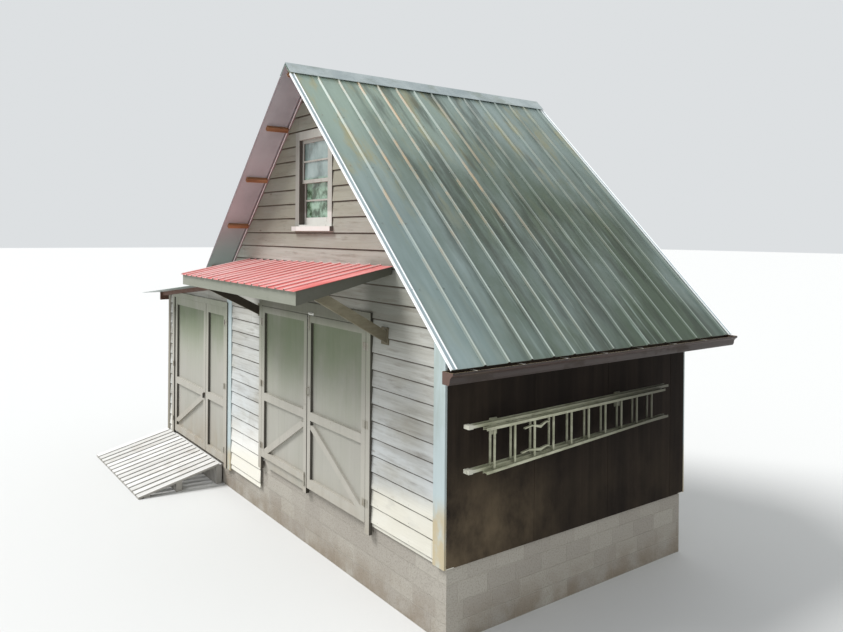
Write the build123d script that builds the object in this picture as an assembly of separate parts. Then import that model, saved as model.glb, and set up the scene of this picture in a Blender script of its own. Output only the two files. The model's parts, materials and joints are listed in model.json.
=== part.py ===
from build123d import *
import os
from math import atan2, cos, radians, sin, tan

# A small gabled barn with a lean-to on its left, in millimetres.
# X runs to the right along the front, Y runs back from the face of the front siding, Z is up.
# Z is 0 at the lowest ground, the foot of the ramp, and the ground rises to the right.
# The finished pieces are moved forward so that the origin lies under the middle of the front wall.

# Body of the barn
half_width = 2880
depth = 3980
siding_depth = 20
wall_thickness = 100
seat = 0.3

# Levels of the barn
high_ground = 1120
main_floor_below = 300
main_floor_depth = 40
loft_floor_above = 2160
loft_board = 20
loft_joist_depth = 140
joist_margin = 98
joist_count = 9

# Main roof: the outer plane touches the tops of the ribs
roof_above = 2390
roof_pitch = 44.3
front_overhang = 393
rear_overhang = 128
left_overhang = 135
rib_height = 20
rib_base = 44
rib_crown = 14
sheet_thickness = 4
roof_rib_pitch = 304.8
roof_first_rib = 4
cap_flange = 150
ridge_clear = 3

# Folded trim along the verges
trim_width = 62
trim_face = 14
trim_sheet = 4
trim_bead = 8
trim_end_gap = 5

# Roof timber and the right eave
purlin_depth = 45
purlin_width = 64
purlin_first = 740
purlin_count = 4
purlin_margin = 110
ridge_purlin = 96
purlin_front_tail = 318
purlin_rear_tail = 60
rafter_depth = 140
rafter_width = 38
rafter_count = 7
ridge_board_depth = 184
fascia_overhang = 495
fascia_thickness = 38
fascia_depth = 146
sheet_past_fascia = 103
eave_purlin_back = 112
strip_depth = 50
strip_front = -4
corner_width = 190
corner_front = -6

# Lean-to
leanto_width = 3010
leanto_floor_below = 760
leanto_roof_fall = 0.110
leanto_roof_clear = 11
leanto_overhang = 420
leanto_rafter_depth = 120
leanto_rake_depth = 75
leanto_rake_front = -18
leanto_fascia_back = 30
leanto_fascia_depth = 150
leanto_fascia_tail = 56
leanto_corner_width = 110

# Foundation, set back a little under the walls
foundation_thickness = 140
foundation_inset = 30

# Doors: each pair fills one opening
door_gap = 5
head_gap = 7
meeting_gap = 12
stile_depth = 38
panel_depth = 12
brace_setback = 2
casing_front = -25
casing_width = 92
casing_below_leaf = 40
main_head_casing = 157
main_opening = (-1475, 1415)
main_meeting = -40
main_head_above = 1955
main_stile = 92
main_mid_above = 688
main_mid_rail = 112
main_foot_below = 20
main_left_foot_below = 100
main_left_rail_above = 40
main_left_rail = 92
main_right_rail = 128
broken_corner = ((150, 0), (110, 33), (66, 66))
leanto_door_left_inset = 410
leanto_door_right_inset = 42
leanto_narrow_leaf = 918
leanto_header = 121
leanto_leaf_front = -3
leanto_foot_above = 15
leanto_stile = 105
leanto_top_rail = 135
leanto_mid_above = 285
leanto_mid_rail = 120
leanto_bottom_rail = 125

# Braces of the leaves: width, then where the middle line meets the lower and the middle rail
leaf_brace_width = 92
main_brace_ends = (-20, -60)
leanto_brace_ends = (70, 9)

# Hinges, bolts, pull and hasp
hinge_radius = 7.8
hinge_length = 90
hinge_plate = 2
hinge_reach = 8
hinge_plate_width = 60
hinge_from_end = 230
hinge_levels = 3
hinge_arm = 6
bolt_radius = 6
bolt_length = 186
bolt_end_gap = 4
bolt_plate = (36, 3, 146)
bolt_strap = (28, 2, 14)
bolt_strap_inset = 34
pull_above = 955
pull_plate = (32, 3, 140)
pull_grip = (12, 10, 110)
pull_reach = 40
hasp_plate = (68, 4, 44)
hasp_staple = (30, 26, 20)
lock_body = (42, 22, 61)

# Gable window
window_centre = 45
window_width = 830
window_height = 1180
window_below_ridge = 910
window_casing = 88
window_casing_thickness = 25
window_jamb = 22
sill_depth = 60
sill_front = -48
sill_horn = 25
sash_stile = 45
sash_depth = 34
sash_back = 44
sash_bar = 22
sash_rail = 46
sash_foot_rail = 96
meeting_above_middle = 10
glass_thickness = 4
glass_rebate = 8

# Canopy over the main doors
canopy_left = -2057
canopy_right = 1921
canopy_reach_left = 1008
canopy_reach_right = 1171
canopy_above = 2657
canopy_fall = 210
canopy_lean = 0.7
canopy_first_rib = 70
canopy_rib_pitch = 228.6
canopy_rib_height = 18
canopy_drip = 30
canopy_fascia_depth = 150
canopy_fascia_back_depth = 86
canopy_fascia_inset = 20
canopy_board = 36
canopy_joist_depth = 60
canopy_joist_count = 5
brace_depth = 115
brace_thickness = 38
brace_foot_above = 1870
left_brace = -1658
left_brace_pitch = 27.5
left_brace_end = 36
right_brace = 1782
right_brace_pitch = 30
right_brace_end = 190
left_cleat = (6, 42)
right_cleat = (80, 20)
cleat_below = 20
cleat_above = 40

# Ramp up to the lean-to doors
ramp_left_inset = 50
ramp_right_inset = 230
ramp_reach = 1290
ramp_board_count = 15
ramp_board_width = 140
ramp_board_thickness = 32
ramp_below_floor = 20
ramp_foot = 34
ramp_gap = 3
bearer_width = 90
bearer_inset = 10
bearer_places = (180, 680)

# Two-part ladder hung on the right wall, its wide end near the front
ladder_offset = 115
rail_flange = 5
rail_web = 5
base_rail = (70, 30)
base_near = 205
base_far = 3380
base_near_above = (645, 1120)
base_far_above = (766, 1176)
fly_rail = (64, 28)
fly_near = 335
fly_far = 3230
fly_near_above = (622, 1087)
fly_far_above = (800, 1150)
rung_first = 461
rung_pitch = 282
rung_count = 10
rung_radius = 13
boot_length = 60
boot_margin = 5
bracket_places = (602, 2586)
bracket_arm = (38, 36)
bracket_plate = (98, 20)
bracket_plate_above = 12
bracket_plate_below = 160

# Gutter along the right eave, its ogee front given as shares of width from the lip and of depth
gutter_width = 154.7
gutter_depth = 120
gutter_wall = 3
gutter_ogee = ((0.40, 0), (0.31, 0.18), (0.27, 0.52), (0.12, 0.72), (0, 0.83))
gutter_below_fascia = 98
gutter_past_verge = 39
gutter_past_rear = 27
hanger_pitch = 609.6
hanger_first = -120
hanger_width = 26
hanger_below_lip = 11
hanger_thickness = 3

os.makedirs("parts", exist_ok=True)

# Places that follow from the sizes
main_floor_top = high_ground - main_floor_below
loft_floor_top = high_ground + loft_floor_above
leanto_floor_top = high_ground - leanto_floor_below
roof_at_wall = high_ground + roof_above
origin_back = siding_depth + foundation_inset + foundation_thickness / 2
back_of_boards = siding_depth
inner_front = back_of_boards + wall_thickness
rear_face = depth - siding_depth
inner_rear = rear_face - wall_thickness
pitch = radians(roof_pitch)
leanto_pitch = atan2(leanto_roof_fall, 1)
ridge_height = roof_at_wall + half_width * tan(pitch)
well_past = ridge_height + leanto_width
under_sheet = -(rib_height + sheet_thickness)
under_purlin = under_sheet - purlin_depth
under_rafter = under_purlin - rafter_depth
fascia_reach = half_width + fascia_overhang
eave_reach = fascia_reach + sheet_past_fascia
left_roof_reach = half_width + left_overhang
front_verge = -front_overhang
rear_verge = depth + rear_overhang
leanto_left = -half_width - leanto_width
leanto_right = -half_width - seat
leanto_wall_left = leanto_left + siding_depth
leanto_roof_reach = leanto_overhang - leanto_left
leanto_fascia_reach = leanto_roof_reach - leanto_fascia_back
foundation_top = main_floor_top - main_floor_depth
leanto_base = leanto_floor_top - main_floor_depth
main_head = high_ground + main_head_above
main_mid_top = high_ground + main_mid_above
main_foot = main_floor_top - main_foot_below
main_left_foot = main_floor_top - main_left_foot_below
main_left_rail_foot = main_floor_top + main_left_rail_above
leanto_foot = leanto_floor_top + leanto_foot_above
leanto_mid_top = high_ground + leanto_mid_above


def box(x0, x1, y0, y1, z0, z1):
    """A straight block between two corners."""
    size = (x1 - x0, y1 - y0, z1 - z0)
    return Pos((x0 + x1) / 2, (y0 + y1) / 2, (z0 + z1) / 2) * Box(*size)


def along_y(outline, y0, y1):
    """An outline of (x, z) points, drawn out from y0 to y1."""
    face = make_face(Polyline([(x, y0, z) for x, z in outline], close=True))
    return extrude(face, amount=y1 - y0, dir=(0, 1, 0))


def along_x(outline, x0, x1):
    """An outline of (y, z) points, drawn out from x0 to x1."""
    face = make_face(Polyline([(x0, y, z) for y, z in outline], close=True))
    return extrude(face, amount=x1 - x0, dir=(1, 0, 0))


def between_x(x0, x1):
    """All the space between two upright planes, used to cut pieces plumb."""
    return box(x0, x1, -well_past, well_past, 0, well_past)


def less(piece, cutters):
    for cutter in cutters:
        piece = piece - cutter
    return piece


def mirrored(piece):
    return mirror(piece, about=Plane.YZ)


def on_slope(piece, top_x, top_z, angle):
    """Lays a piece drawn flat on a roof that falls to the right from its top edge."""
    slope = Plane(
        origin=(top_x, 0, top_z),
        x_dir=(cos(angle), 0, -sin(angle)),
        z_dir=(sin(angle), 0, cos(angle)),
    )
    return slope.location * piece


def on_main(piece, left=False):
    placed = on_slope(piece, 0, ridge_height, pitch)
    return mirrored(placed) if left else placed


def main_height(x, offset=0):
    """Height of the main roof's outer plane at x, moved square to the slope by offset."""
    return ridge_height - abs(x) * tan(pitch) + offset / cos(pitch)


# The lean-to's roof starts under the left eave of the main roof
left_eave_under = main_height(left_roof_reach, under_sheet)
leanto_roof_height = left_eave_under - leanto_roof_clear + left_overhang * leanto_roof_fall


def on_leanto(piece, reach):
    """Lays a piece on the lean-to's slope, plumb cut at the barn's wall and at reach."""
    placed = on_slope(piece, half_width + seat, leanto_roof_height, leanto_pitch)
    return mirrored(placed) & between_x(-reach, leanto_right)


def leanto_height(x, offset=0):
    run = leanto_right - x
    return leanto_roof_height - run * leanto_roof_fall + offset / cos(leanto_pitch)


def ribbed_sheet(length, y0, y1, ribs, height):
    """A sheet with trapezoid ribs that run down its length, rib crowns at local height 0."""
    top = [(y0, -height)]
    for middle in ribs:
        top.append((middle - rib_base / 2, -height))
        top.append((middle - rib_crown / 2, 0))
        top.append((middle + rib_crown / 2, 0))
        top.append((middle + rib_base / 2, -height))
    top.append((y1, -height))
    underside = [(y, z - sheet_thickness) for y, z in reversed(top)]
    return along_x(top + underside, 0, length)


def rib_places(y0, y1, first, step):
    """Rib middles that stay clear of both side edges."""
    places = []
    y = first
    while y < y1 - rib_base:
        if y > y0 + rib_base:
            places.append(y)
        y += step
    return places


def spread(first, last, count):
    """Evenly spaced places from first to last."""
    return [first + (last - first) * n / (count - 1) for n in range(count)]


def group(pieces):
    """Like pieces that don't touch, kept together in one node."""
    return Compound(children=[solid for piece in pieces for solid in piece.solids()])


def save(piece, name):
    """Writes one node, moved so that the origin lies under the middle of the front wall."""
    solids = [Pos(0, -origin_back, 0) * solid for solid in piece.solids()]
    node = Compound(children=solids) if len(solids) > 1 else solids[0]
    node.label = name
    export_step(node, f"parts/{name}.step")


# Roof sheets of the main roof
main_ribs = rib_places(front_verge, rear_verge, roof_first_rib, roof_rib_pitch)
right_slope = eave_reach / cos(pitch)
left_slope = left_roof_reach / cos(pitch)


def roof_sheet(length):
    sheet = ribbed_sheet(length, front_verge, rear_verge, main_ribs, rib_height)
    return on_main(sheet) & between_x(ridge_clear, well_past)


save(roof_sheet(right_slope), "roof_sheet_right")
save(mirrored(roof_sheet(left_slope)), "roof_sheet_left")

# Ridge cap: two flanges that rest on the rib crowns
cap_outline = [
    (0, main_height(0, sheet_thickness)),
    (cap_flange, main_height(cap_flange, sheet_thickness)),
    (cap_flange, main_height(cap_flange, seat)),
    (0, main_height(0, seat)),
    (-cap_flange, main_height(cap_flange, seat)),
    (-cap_flange, main_height(cap_flange, sheet_thickness)),
]
save(along_y(cap_outline, front_verge, rear_verge), "ridge_cap")


def rake_trim(start, end, at_rear):
    """Folded strip with two raised beads, its face turned down over the verge."""
    pan = -rib_height + seat
    top = pan + trim_sheet
    inner_bead = trim_width - trim_bead
    outline = [
        (0, top),
        (0, top + trim_bead),
        (trim_bead, top + trim_bead),
        (trim_bead + trim_sheet, top),
        (inner_bead - trim_sheet, top),
        (inner_bead, top + trim_bead),
        (trim_width, top + trim_bead),
        (trim_width, pan),
        (-seat, pan),
        (-seat, pan - trim_face),
        (-trim_sheet, pan - trim_face),
        (-trim_sheet, top),
    ]
    strip = along_x(outline, start, end)
    if at_rear:
        return Pos(0, rear_verge, 0) * mirror(strip, about=Plane.XZ)
    return Pos(0, front_verge, 0) * strip


trim_start = cap_flange / cos(pitch) + trim_end_gap
trims = []
for at_rear in (False, True):
    trims.append(on_main(rake_trim(trim_start, right_slope, at_rear)))
    trims.append(on_main(rake_trim(trim_start, left_slope, at_rear), left=True))
save(group(trims), "rake_trims")


# Purlins run through both gables and carry the sheets
def purlin(run):
    middle = run / cos(pitch)
    flat = box(
        middle - purlin_width / 2,
        middle + purlin_width / 2,
        -purlin_front_tail,
        depth + purlin_rear_tail,
        under_purlin,
        under_sheet - seat,
    )
    return on_main(flat)


purlin_runs = spread(purlin_first, half_width - purlin_margin, purlin_count)
wall_purlins = [purlin(run) for run in [ridge_purlin] + purlin_runs]
purlins_left = group([mirrored(piece) for piece in wall_purlins])
eave_purlin = purlin(fascia_reach - eave_purlin_back)
purlins_right = group(wall_purlins + [eave_purlin])
save(group([purlins_left, purlins_right]), "purlins")

# Ridge board and rafters
ridge_board_half = rafter_width / 2
ridge_board_top = main_height(ridge_board_half, under_purlin) - seat
ridge_board = box(
    -ridge_board_half,
    ridge_board_half,
    inner_front + seat,
    inner_rear - seat,
    ridge_board_top - ridge_board_depth,
    ridge_board_top,
)
save(ridge_board, "ridge_board")
rafter_end_gap = rafter_width / 2 + seat
rafter_middles = spread(inner_front + rafter_end_gap, inner_rear - rafter_end_gap, rafter_count)


def rafter_row(reach):
    """Rafters of one slope, plumb cut at the ridge board and at their lower end."""
    rows = []
    for middle in rafter_middles:
        flat = box(
            -rafter_depth,
            (reach + rafter_depth) / cos(pitch),
            middle - rafter_width / 2,
            middle + rafter_width / 2,
            under_rafter,
            under_purlin - seat,
        )
        rows.append(on_main(flat) & between_x(ridge_board_half + seat, reach))
    return rows


rafters_right = rafter_row(fascia_reach - fascia_thickness - seat)
rafters_left = [mirrored(rafter) for rafter in rafter_row(half_width)]
save(group(rafters_left + rafters_right), "rafters")

# Walls of the barn, cut to the roof and round the timber that passes through them
under_roof_outline = [
    (-half_width, 0),
    (half_width, 0),
    (half_width, main_height(half_width, under_sheet - seat)),
    (0, main_height(0, under_sheet - seat)),
    (-half_width, main_height(half_width, under_sheet - seat)),
]
under_roof = along_y(under_roof_outline, 0, depth)
window_head = ridge_height - window_below_ridge
window_sill = window_head - window_height
window_left = window_centre - window_width / 2
window_right = window_centre + window_width / 2
window_hole = box(window_left, window_right, 0, depth, window_sill, window_head)
gable_cutters = [window_hole, purlins_right, purlins_left]


def front_piece(x0, x1, z0, z1):
    """Part of the front wall between the siding and the inner face, under the roof."""
    return box(x0, x1, back_of_boards, inner_front, z0, z1) & under_roof


front_gable = front_piece(-half_width, half_width, main_head, well_past)
save(less(front_gable, gable_cutters), "front_gable")
door_left, door_right = main_opening
save(front_piece(-half_width, door_left, foundation_top, main_head), "front_wall_left")
save(front_piece(door_right, half_width, foundation_top, main_head), "front_wall_right")
rear_wall = box(-half_width, half_width, inner_rear, rear_face, foundation_top, well_past)
save(less(rear_wall & under_roof, gable_cutters), "rear_wall")

floor_inside = half_width - wall_thickness
side_wall = box(floor_inside, half_width, inner_front, inner_rear, foundation_top, well_past)
side_wall = side_wall & under_roof
save(less(side_wall, rafters_right + [purlins_right]), "right_wall")
save(less(mirrored(side_wall), rafters_left + [purlins_left]), "left_wall")


def under_verge(drop, x0, x1, feet, y0, y1):
    """A board cut to the roof at its top, as far below the sheet as drop says."""
    outline = [
        (x0, feet[0]),
        (x1, feet[1]),
        (x1, main_height(x1, under_sheet - drop)),
        (x0, main_height(x0, under_sheet - drop)),
    ]
    return less(along_y(outline, y0, y1), [purlins_right])


# Rake strips under the sheet on both gables, between the purlins
strip_feet = [
    main_height(x, under_sheet - strip_depth) for x in (ridge_board_half, half_width)
]
strips = []
for y0, y1 in ((strip_front, back_of_boards), (rear_face, depth - strip_front)):
    strip = under_verge(seat, ridge_board_half, half_width, strip_feet, y0, y1)
    strips += [strip, mirrored(strip)]
save(group(strips), "rake_strips")

# Floors
inside = (-floor_inside, floor_inside, inner_front, inner_rear)
save(box(*inside, foundation_top, main_floor_top), "main_floor")
joist_top = loft_floor_top - loft_board
joist_foot = joist_top - loft_joist_depth
last_joist = inner_rear - joist_margin - rafter_width
joists = []
for y in spread(inner_front + joist_margin, last_joist, joist_count):
    joists.append(box(-floor_inside, floor_inside, y, y + rafter_width, joist_foot, joist_top))
save(group(joists), "loft_joists")
save(box(*inside, joist_top, loft_floor_top), "loft_floor")

# Foundation walls, run down to the lowest ground
foundation_left = leanto_wall_left + foundation_inset
foundation_side = half_width - foundation_inset
foundation_outline = [
    (foundation_left, 0),
    (foundation_side, 0),
    (foundation_side, foundation_top),
    (-foundation_side, foundation_top),
    (-foundation_side, leanto_base),
    (foundation_left, leanto_base),
]
foundation_front = back_of_boards + foundation_inset
foundation_rear = rear_face - foundation_inset
between = (foundation_front + foundation_thickness, foundation_rear - foundation_thickness)
save(along_y(foundation_outline, foundation_front, between[0]), "foundation_front")
save(along_y(foundation_outline, between[1], foundation_rear), "foundation_rear")
side_inner = foundation_side - foundation_thickness
foundation_sides = [
    box(side_inner, foundation_side, *between, 0, foundation_top),
    box(-foundation_side, -side_inner, *between, 0, foundation_top),
    box(foundation_left, foundation_left + foundation_thickness, *between, 0, leanto_base),
]
save(group(foundation_sides), "foundation_sides")


# Corner boards of the barn and of the lean-to, front and rear
def leanto_board_top(x):
    """Just under the lean-to's rake board."""
    return leanto_height(x, under_sheet - leanto_rake_depth) - 2 * seat


leanto_corner_right = leanto_left + leanto_corner_width
leanto_corner_outline = [
    (leanto_left, leanto_base),
    (leanto_corner_right, leanto_base),
    (leanto_corner_right, leanto_board_top(leanto_corner_right)),
    (leanto_left, leanto_board_top(leanto_left)),
]
corners = []
for y0, y1 in ((corner_front, back_of_boards), (rear_face, depth - corner_front)):
    span = (half_width - corner_width, half_width)
    corner_drop = strip_depth + seat
    corners.append(under_verge(corner_drop, *span, [foundation_top] * 2, y0, y1))
    corners.append(mirrored(under_verge(corner_drop, *span, [leanto_base] * 2, y0, y1)))
    corners.append(along_y(leanto_corner_outline, y0, y1))
save(group(corners), "corner_boards")

# Eave fascias: one on the right eave, one across the lean-to's rafter ends
fascia_top = main_height(fascia_reach, under_sheet) - seat
right_fascia = box(
    fascia_reach - fascia_thickness,
    fascia_reach,
    -purlin_front_tail,
    depth + purlin_rear_tail,
    fascia_top - fascia_depth,
    fascia_top,
)
leanto_fascia_top = leanto_height(-leanto_fascia_reach, under_sheet) - seat
leanto_rafter_reach = leanto_fascia_reach - fascia_thickness - seat
leanto_fascia = box(
    -leanto_fascia_reach,
    -leanto_fascia_reach + fascia_thickness,
    -leanto_fascia_tail,
    depth + leanto_fascia_tail,
    leanto_fascia_top - leanto_fascia_depth,
    leanto_fascia_top,
)
save(group([right_fascia, leanto_fascia]), "eave_fascia")

# Gutter with an ogee front, and its hangers
gutter_lip_height = fascia_top - gutter_below_fascia
gutter_front = front_verge - gutter_past_verge
gutter_rear = rear_verge + gutter_past_rear
gutter_back = fascia_reach + seat


def gutter_outline(inset, rise):
    """Gutter section moved in by inset on the back, floor and front."""
    floor = gutter_lip_height - gutter_depth + inset
    lip = gutter_back + gutter_width - inset
    top = gutter_lip_height + rise
    ogee = [(lip - across * gutter_width, floor + up * gutter_depth) for across, up in gutter_ogee]
    return [(gutter_back + inset, top), (gutter_back + inset, floor)] + ogee + [(lip, top)]


gutter = along_y(gutter_outline(0, 0), gutter_front, gutter_rear)
gutter_room = (gutter_front + gutter_wall, gutter_rear - gutter_wall)
gutter -= along_y(gutter_outline(gutter_wall, 1), *gutter_room)
save(gutter, "gutter")
hanger_top = gutter_lip_height - hanger_below_lip
hanger_count = int((gutter_room[1] - hanger_width - hanger_first) // hanger_pitch) + 1
hangers = []
for n in range(hanger_count):
    y = hanger_first + hanger_pitch * n
    hanger = box(
        gutter_back + gutter_wall,
        gutter_back + gutter_width - gutter_wall,
        y,
        y + hanger_width,
        hanger_top - hanger_thickness,
        hanger_top,
    )
    hangers.append(hanger)
save(group(hangers), "gutter_hangers")

# Lean-to walls
leanto_inner_left = leanto_wall_left + wall_thickness
leanto_opening = (leanto_left + leanto_door_left_inset, -half_width - leanto_door_right_inset)
leanto_meeting = leanto_opening[1] - leanto_narrow_leaf
leanto_head = leanto_height(leanto_opening[0], under_sheet) - leanto_header


def leanto_wall(x0, x1, bottom, y0, y1):
    outline = [
        (x0, bottom),
        (x1, bottom),
        (x1, leanto_height(x1, under_sheet - seat)),
        (x0, leanto_height(x0, under_sheet - seat)),
    ]
    return along_y(outline, y0, y1)


front_depth = (back_of_boards, inner_front)
leanto_span = (leanto_wall_left, leanto_right)
save(leanto_wall(*leanto_opening, leanto_head, *front_depth), "leanto_front_header")
leanto_left_span = (leanto_wall_left, leanto_opening[0])
save(leanto_wall(*leanto_left_span, leanto_base, *front_depth), "leanto_front_left")
leanto_right_span = (leanto_opening[1], leanto_right)
save(leanto_wall(*leanto_right_span, leanto_base, *front_depth), "leanto_front_right")
save(leanto_wall(*leanto_span, leanto_base, inner_rear, rear_face), "leanto_rear_wall")

# Lean-to rafters, roof sheet, floor and rake boards
leanto_slope = (leanto_roof_reach - half_width) / cos(leanto_pitch)
leanto_rafters = []
for middle in rafter_middles:
    flat = box(
        -leanto_rafter_depth,
        leanto_slope,
        middle - rafter_width / 2,
        middle + rafter_width / 2,
        under_sheet - leanto_rafter_depth,
        under_sheet - seat,
    )
    leanto_rafters.append(on_leanto(flat, leanto_rafter_reach))
save(group(leanto_rafters), "leanto_rafters")
side_span = (leanto_wall_left, leanto_inner_left)
leanto_side = leanto_wall(*side_span, leanto_base, inner_front, inner_rear)
save(less(leanto_side, leanto_rafters), "leanto_left_wall")
leanto_sheet = ribbed_sheet(leanto_slope, front_verge, rear_verge, main_ribs, rib_height)
save(on_leanto(leanto_sheet, leanto_roof_reach), "leanto_roof_sheet")
leanto_inside = (leanto_inner_left, leanto_right, inner_front, inner_rear)
save(box(*leanto_inside, leanto_base, leanto_floor_top), "leanto_floor")
leanto_rakes = []
for y0, y1 in ((leanto_rake_front, back_of_boards), (rear_face, depth - leanto_rake_front)):
    flat = box(0, leanto_slope, y0, y1, under_sheet - leanto_rake_depth, under_sheet - seat)
    leanto_rakes.append(on_leanto(flat, leanto_rafter_reach))
save(group(leanto_rakes), "leanto_rake_boards")


# Door casings: the lean-to's is cut under its rake board and laps the barn's corner board
def door_casing(opening, head, head_casing, foot, cutters):
    """Casing boards either side of and over a doorway, as one frame."""
    left, right = opening
    wide = (left - casing_width, right + casing_width)
    frame = box(*wide, casing_front, back_of_boards, foot, head + head_casing)
    frame -= box(left, right, -well_past, well_past, 0, head)
    return less(frame, cutters)


rake_outline = [
    (leanto_left, leanto_board_top(leanto_left)),
    (-half_width, leanto_board_top(-half_width)),
    (-half_width, well_past),
    (leanto_left, well_past),
]
over_casing = along_y(rake_outline, casing_front - seat, back_of_boards)
corner_lap = box(leanto_right, 0, corner_front - seat, back_of_boards, 0, well_past)
main_casing_foot = main_left_foot - casing_below_leaf
over_leanto = [over_casing, corner_lap]
casings = [
    door_casing(main_opening, main_head, main_head_casing, main_casing_foot, []),
    door_casing(leanto_opening, leanto_head, casing_width, leanto_base, over_leanto),
]
save(group(casings), "door_casings")


# Door leaves: a plywood panel with stiles, rails and a brace on its face
def leaf_panel(x0, x1, front, foot, top):
    back = front + stile_depth
    return box(x0, x1, back, back + panel_depth, foot, top)


def brace_board(x0, z0, x1, z1):
    """Outline of a diagonal board between two points of the leaf's face."""
    run = leaf_brace_width / 2 / sin(abs(atan2(z1 - z0, x1 - x0)))
    return [(x0 - run, z0), (x0 + run, z0), (x1 + run, z1), (x1 - run, z1)]


def leaf_frame(span, front, levels, stile, top_rail, mid_rail, rises, brace_ends):
    """Stiles and rails fused into one frame, with a brace that rises to the left or right."""
    foot, rail_top, mid_top, top = levels
    mid_foot = mid_top - mid_rail
    back = front + stile_depth
    inner = (span[0] + stile, span[1] - stile)
    frame = box(*span, front, back, foot, top)
    frame -= box(*inner, front, back, mid_top, top - top_rail)
    frame -= box(*inner, front, back, rail_top, mid_foot)
    if rises:
        low_end, high_end = inner if rises == "right" else inner[::-1]
        ends = (low_end, rail_top + brace_ends[0], high_end, mid_foot + brace_ends[1])
        bay = box(*inner, front, back, rail_top, mid_foot)
        frame += along_y(brace_board(*ends), front + brace_setback, back) & bay
    return frame


def leaf_spans(opening, meeting):
    """Left and right edges of the two leaves that close an opening."""
    left = (opening[0] + door_gap, meeting - meeting_gap / 2)
    right = (meeting + meeting_gap / 2, opening[1] - door_gap)
    return left, right


main_left, main_right = leaf_spans(main_opening, main_meeting)
main_top = main_head - head_gap
main_back = casing_front + stile_depth
left_panel = leaf_panel(*main_left, casing_front, main_left_foot, main_top)
lost_corner = [(main_left[0] + x, main_left_foot + z) for x, z in broken_corner]
lost_corner += [
    (lost_corner[-1][0], main_left_rail_foot),
    (main_left[0], main_left_rail_foot),
    (main_left[0], main_left_foot),
]
save(left_panel - along_y(lost_corner, main_back, inner_front), "main_door_left_panel")
left_levels = (main_left_foot, main_left_rail_foot + main_left_rail, main_mid_top, main_top)
left_frame = leaf_frame(
    main_left,
    casing_front,
    left_levels,
    main_stile,
    main_stile,
    main_mid_rail,
    "right",
    main_brace_ends,
)
under_rail = (main_left[0], main_left[1] - main_stile, casing_front, main_back)
left_frame -= box(*under_rail, main_left_foot, main_left_rail_foot)
save(left_frame, "main_door_left_frame")
save(leaf_panel(*main_right, casing_front, main_foot, main_top), "main_door_right_panel")
right_levels = (main_foot, main_foot + main_right_rail, main_mid_top, main_top)
right_frame = leaf_frame(
    main_right,
    casing_front,
    right_levels,
    main_stile,
    main_stile,
    main_mid_rail,
    "left",
    main_brace_ends,
)
save(right_frame, "main_door_right_frame")


def hinge_places(foot, top):
    return spread(foot + hinge_from_end, top - hinge_from_end, hinge_levels)


def hinge_arms(edge, side, foot, top):
    """Blocks that reach from a leaf set back in its opening out to the knuckles."""
    near, far = sorted((edge, edge + side * hinge_arm))
    half = hinge_length / 2
    reach = (near, far, casing_front, leanto_leaf_front)
    return [box(*reach, z - half, z + half) for z in hinge_places(foot, top)]


leanto_wide, leanto_narrow = leaf_spans(leanto_opening, leanto_meeting)
leanto_top = leanto_head - head_gap
leanto_levels = (leanto_foot, leanto_foot + leanto_bottom_rail, leanto_mid_top, leanto_top)
arms = {
    "left": hinge_arms(leanto_wide[0], 1, leanto_foot, leanto_top),
    "right": hinge_arms(leanto_narrow[1], -1, leanto_foot, leanto_top),
}
for side, span, rises in (("left", leanto_wide, "right"), ("right", leanto_narrow, "")):
    panel = leaf_panel(*span, leanto_leaf_front, leanto_foot, leanto_top)
    save(panel, f"leanto_door_{side}_panel")
    frame = leaf_frame(
        span,
        leanto_leaf_front,
        leanto_levels,
        leanto_stile,
        leanto_top_rail,
        leanto_mid_rail,
        rises,
        leanto_brace_ends,
    )
    save(frame + arms[side], f"leanto_door_{side}_frame")


# Hinge knuckles on the axes, each with a plate screwed to the casing
def hinge(axis_x, side, z):
    knuckle = Pos(axis_x, casing_front - hinge_reach, z) * Cylinder(hinge_radius, hinge_length)
    far = axis_x - side * hinge_plate_width
    half = hinge_length / 2
    face = casing_front - seat
    edges = (min(axis_x, far), max(axis_x, far))
    return knuckle + box(*edges, face - hinge_plate, face, z - half, z + half)


def hinge_set(opening, foot, top):
    levels = hinge_places(foot, top)
    left = [hinge(opening[0] + door_gap / 2, 1, z) for z in levels]
    right = [hinge(opening[1] - door_gap / 2, -1, z) for z in levels]
    return left + right


all_hinges = hinge_set(main_opening, main_foot, main_top)
all_hinges += hinge_set(leanto_opening, leanto_foot, leanto_top)
save(group(all_hinges), "door_hinges")


# Bolts, pull and hasp, each held off the leaf's face by the seat
def on_face(x, z, face, out, size):
    """A block of width, thickness and height about (x, z), its back out from the face."""
    width, thick, height = size
    back = face - out
    edges = (x - width / 2, x + width / 2)
    return box(*edges, back - thick, back, z - height / 2, z + height / 2)


main_face = casing_front - seat


def slide_bolt(x, z):
    """Upright bolt sunk a little into its plate, with two straps."""
    rod_out = bolt_plate[1] + bolt_radius - 1
    rod = Pos(x, main_face - rod_out, z) * Cylinder(bolt_radius, bolt_length)
    strap_width, strap_metal, strap_height = bolt_strap
    strap = (strap_width, rod_out + bolt_radius + strap_metal, strap_height)
    strap_out = bolt_length / 2 - bolt_strap_inset
    straps = [on_face(x, z + dz, main_face, 0, strap) for dz in (-strap_out, strap_out)]
    return on_face(x, z, main_face, 0, bolt_plate) + rod + straps


def pull_handle(x, z):
    grip_width, grip_thick, grip_height = pull_grip
    grip = on_face(x, z, main_face, pull_reach - grip_thick, pull_grip)
    end = (grip_width, pull_reach - grip_thick + 1, grip_thick)
    end_out = (grip_height - grip_thick) / 2
    ends = [on_face(x, z + dz, main_face, 0, end) for dz in (-end_out, end_out)]
    return on_face(x, z, main_face, 0, pull_plate) + grip + ends


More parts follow.
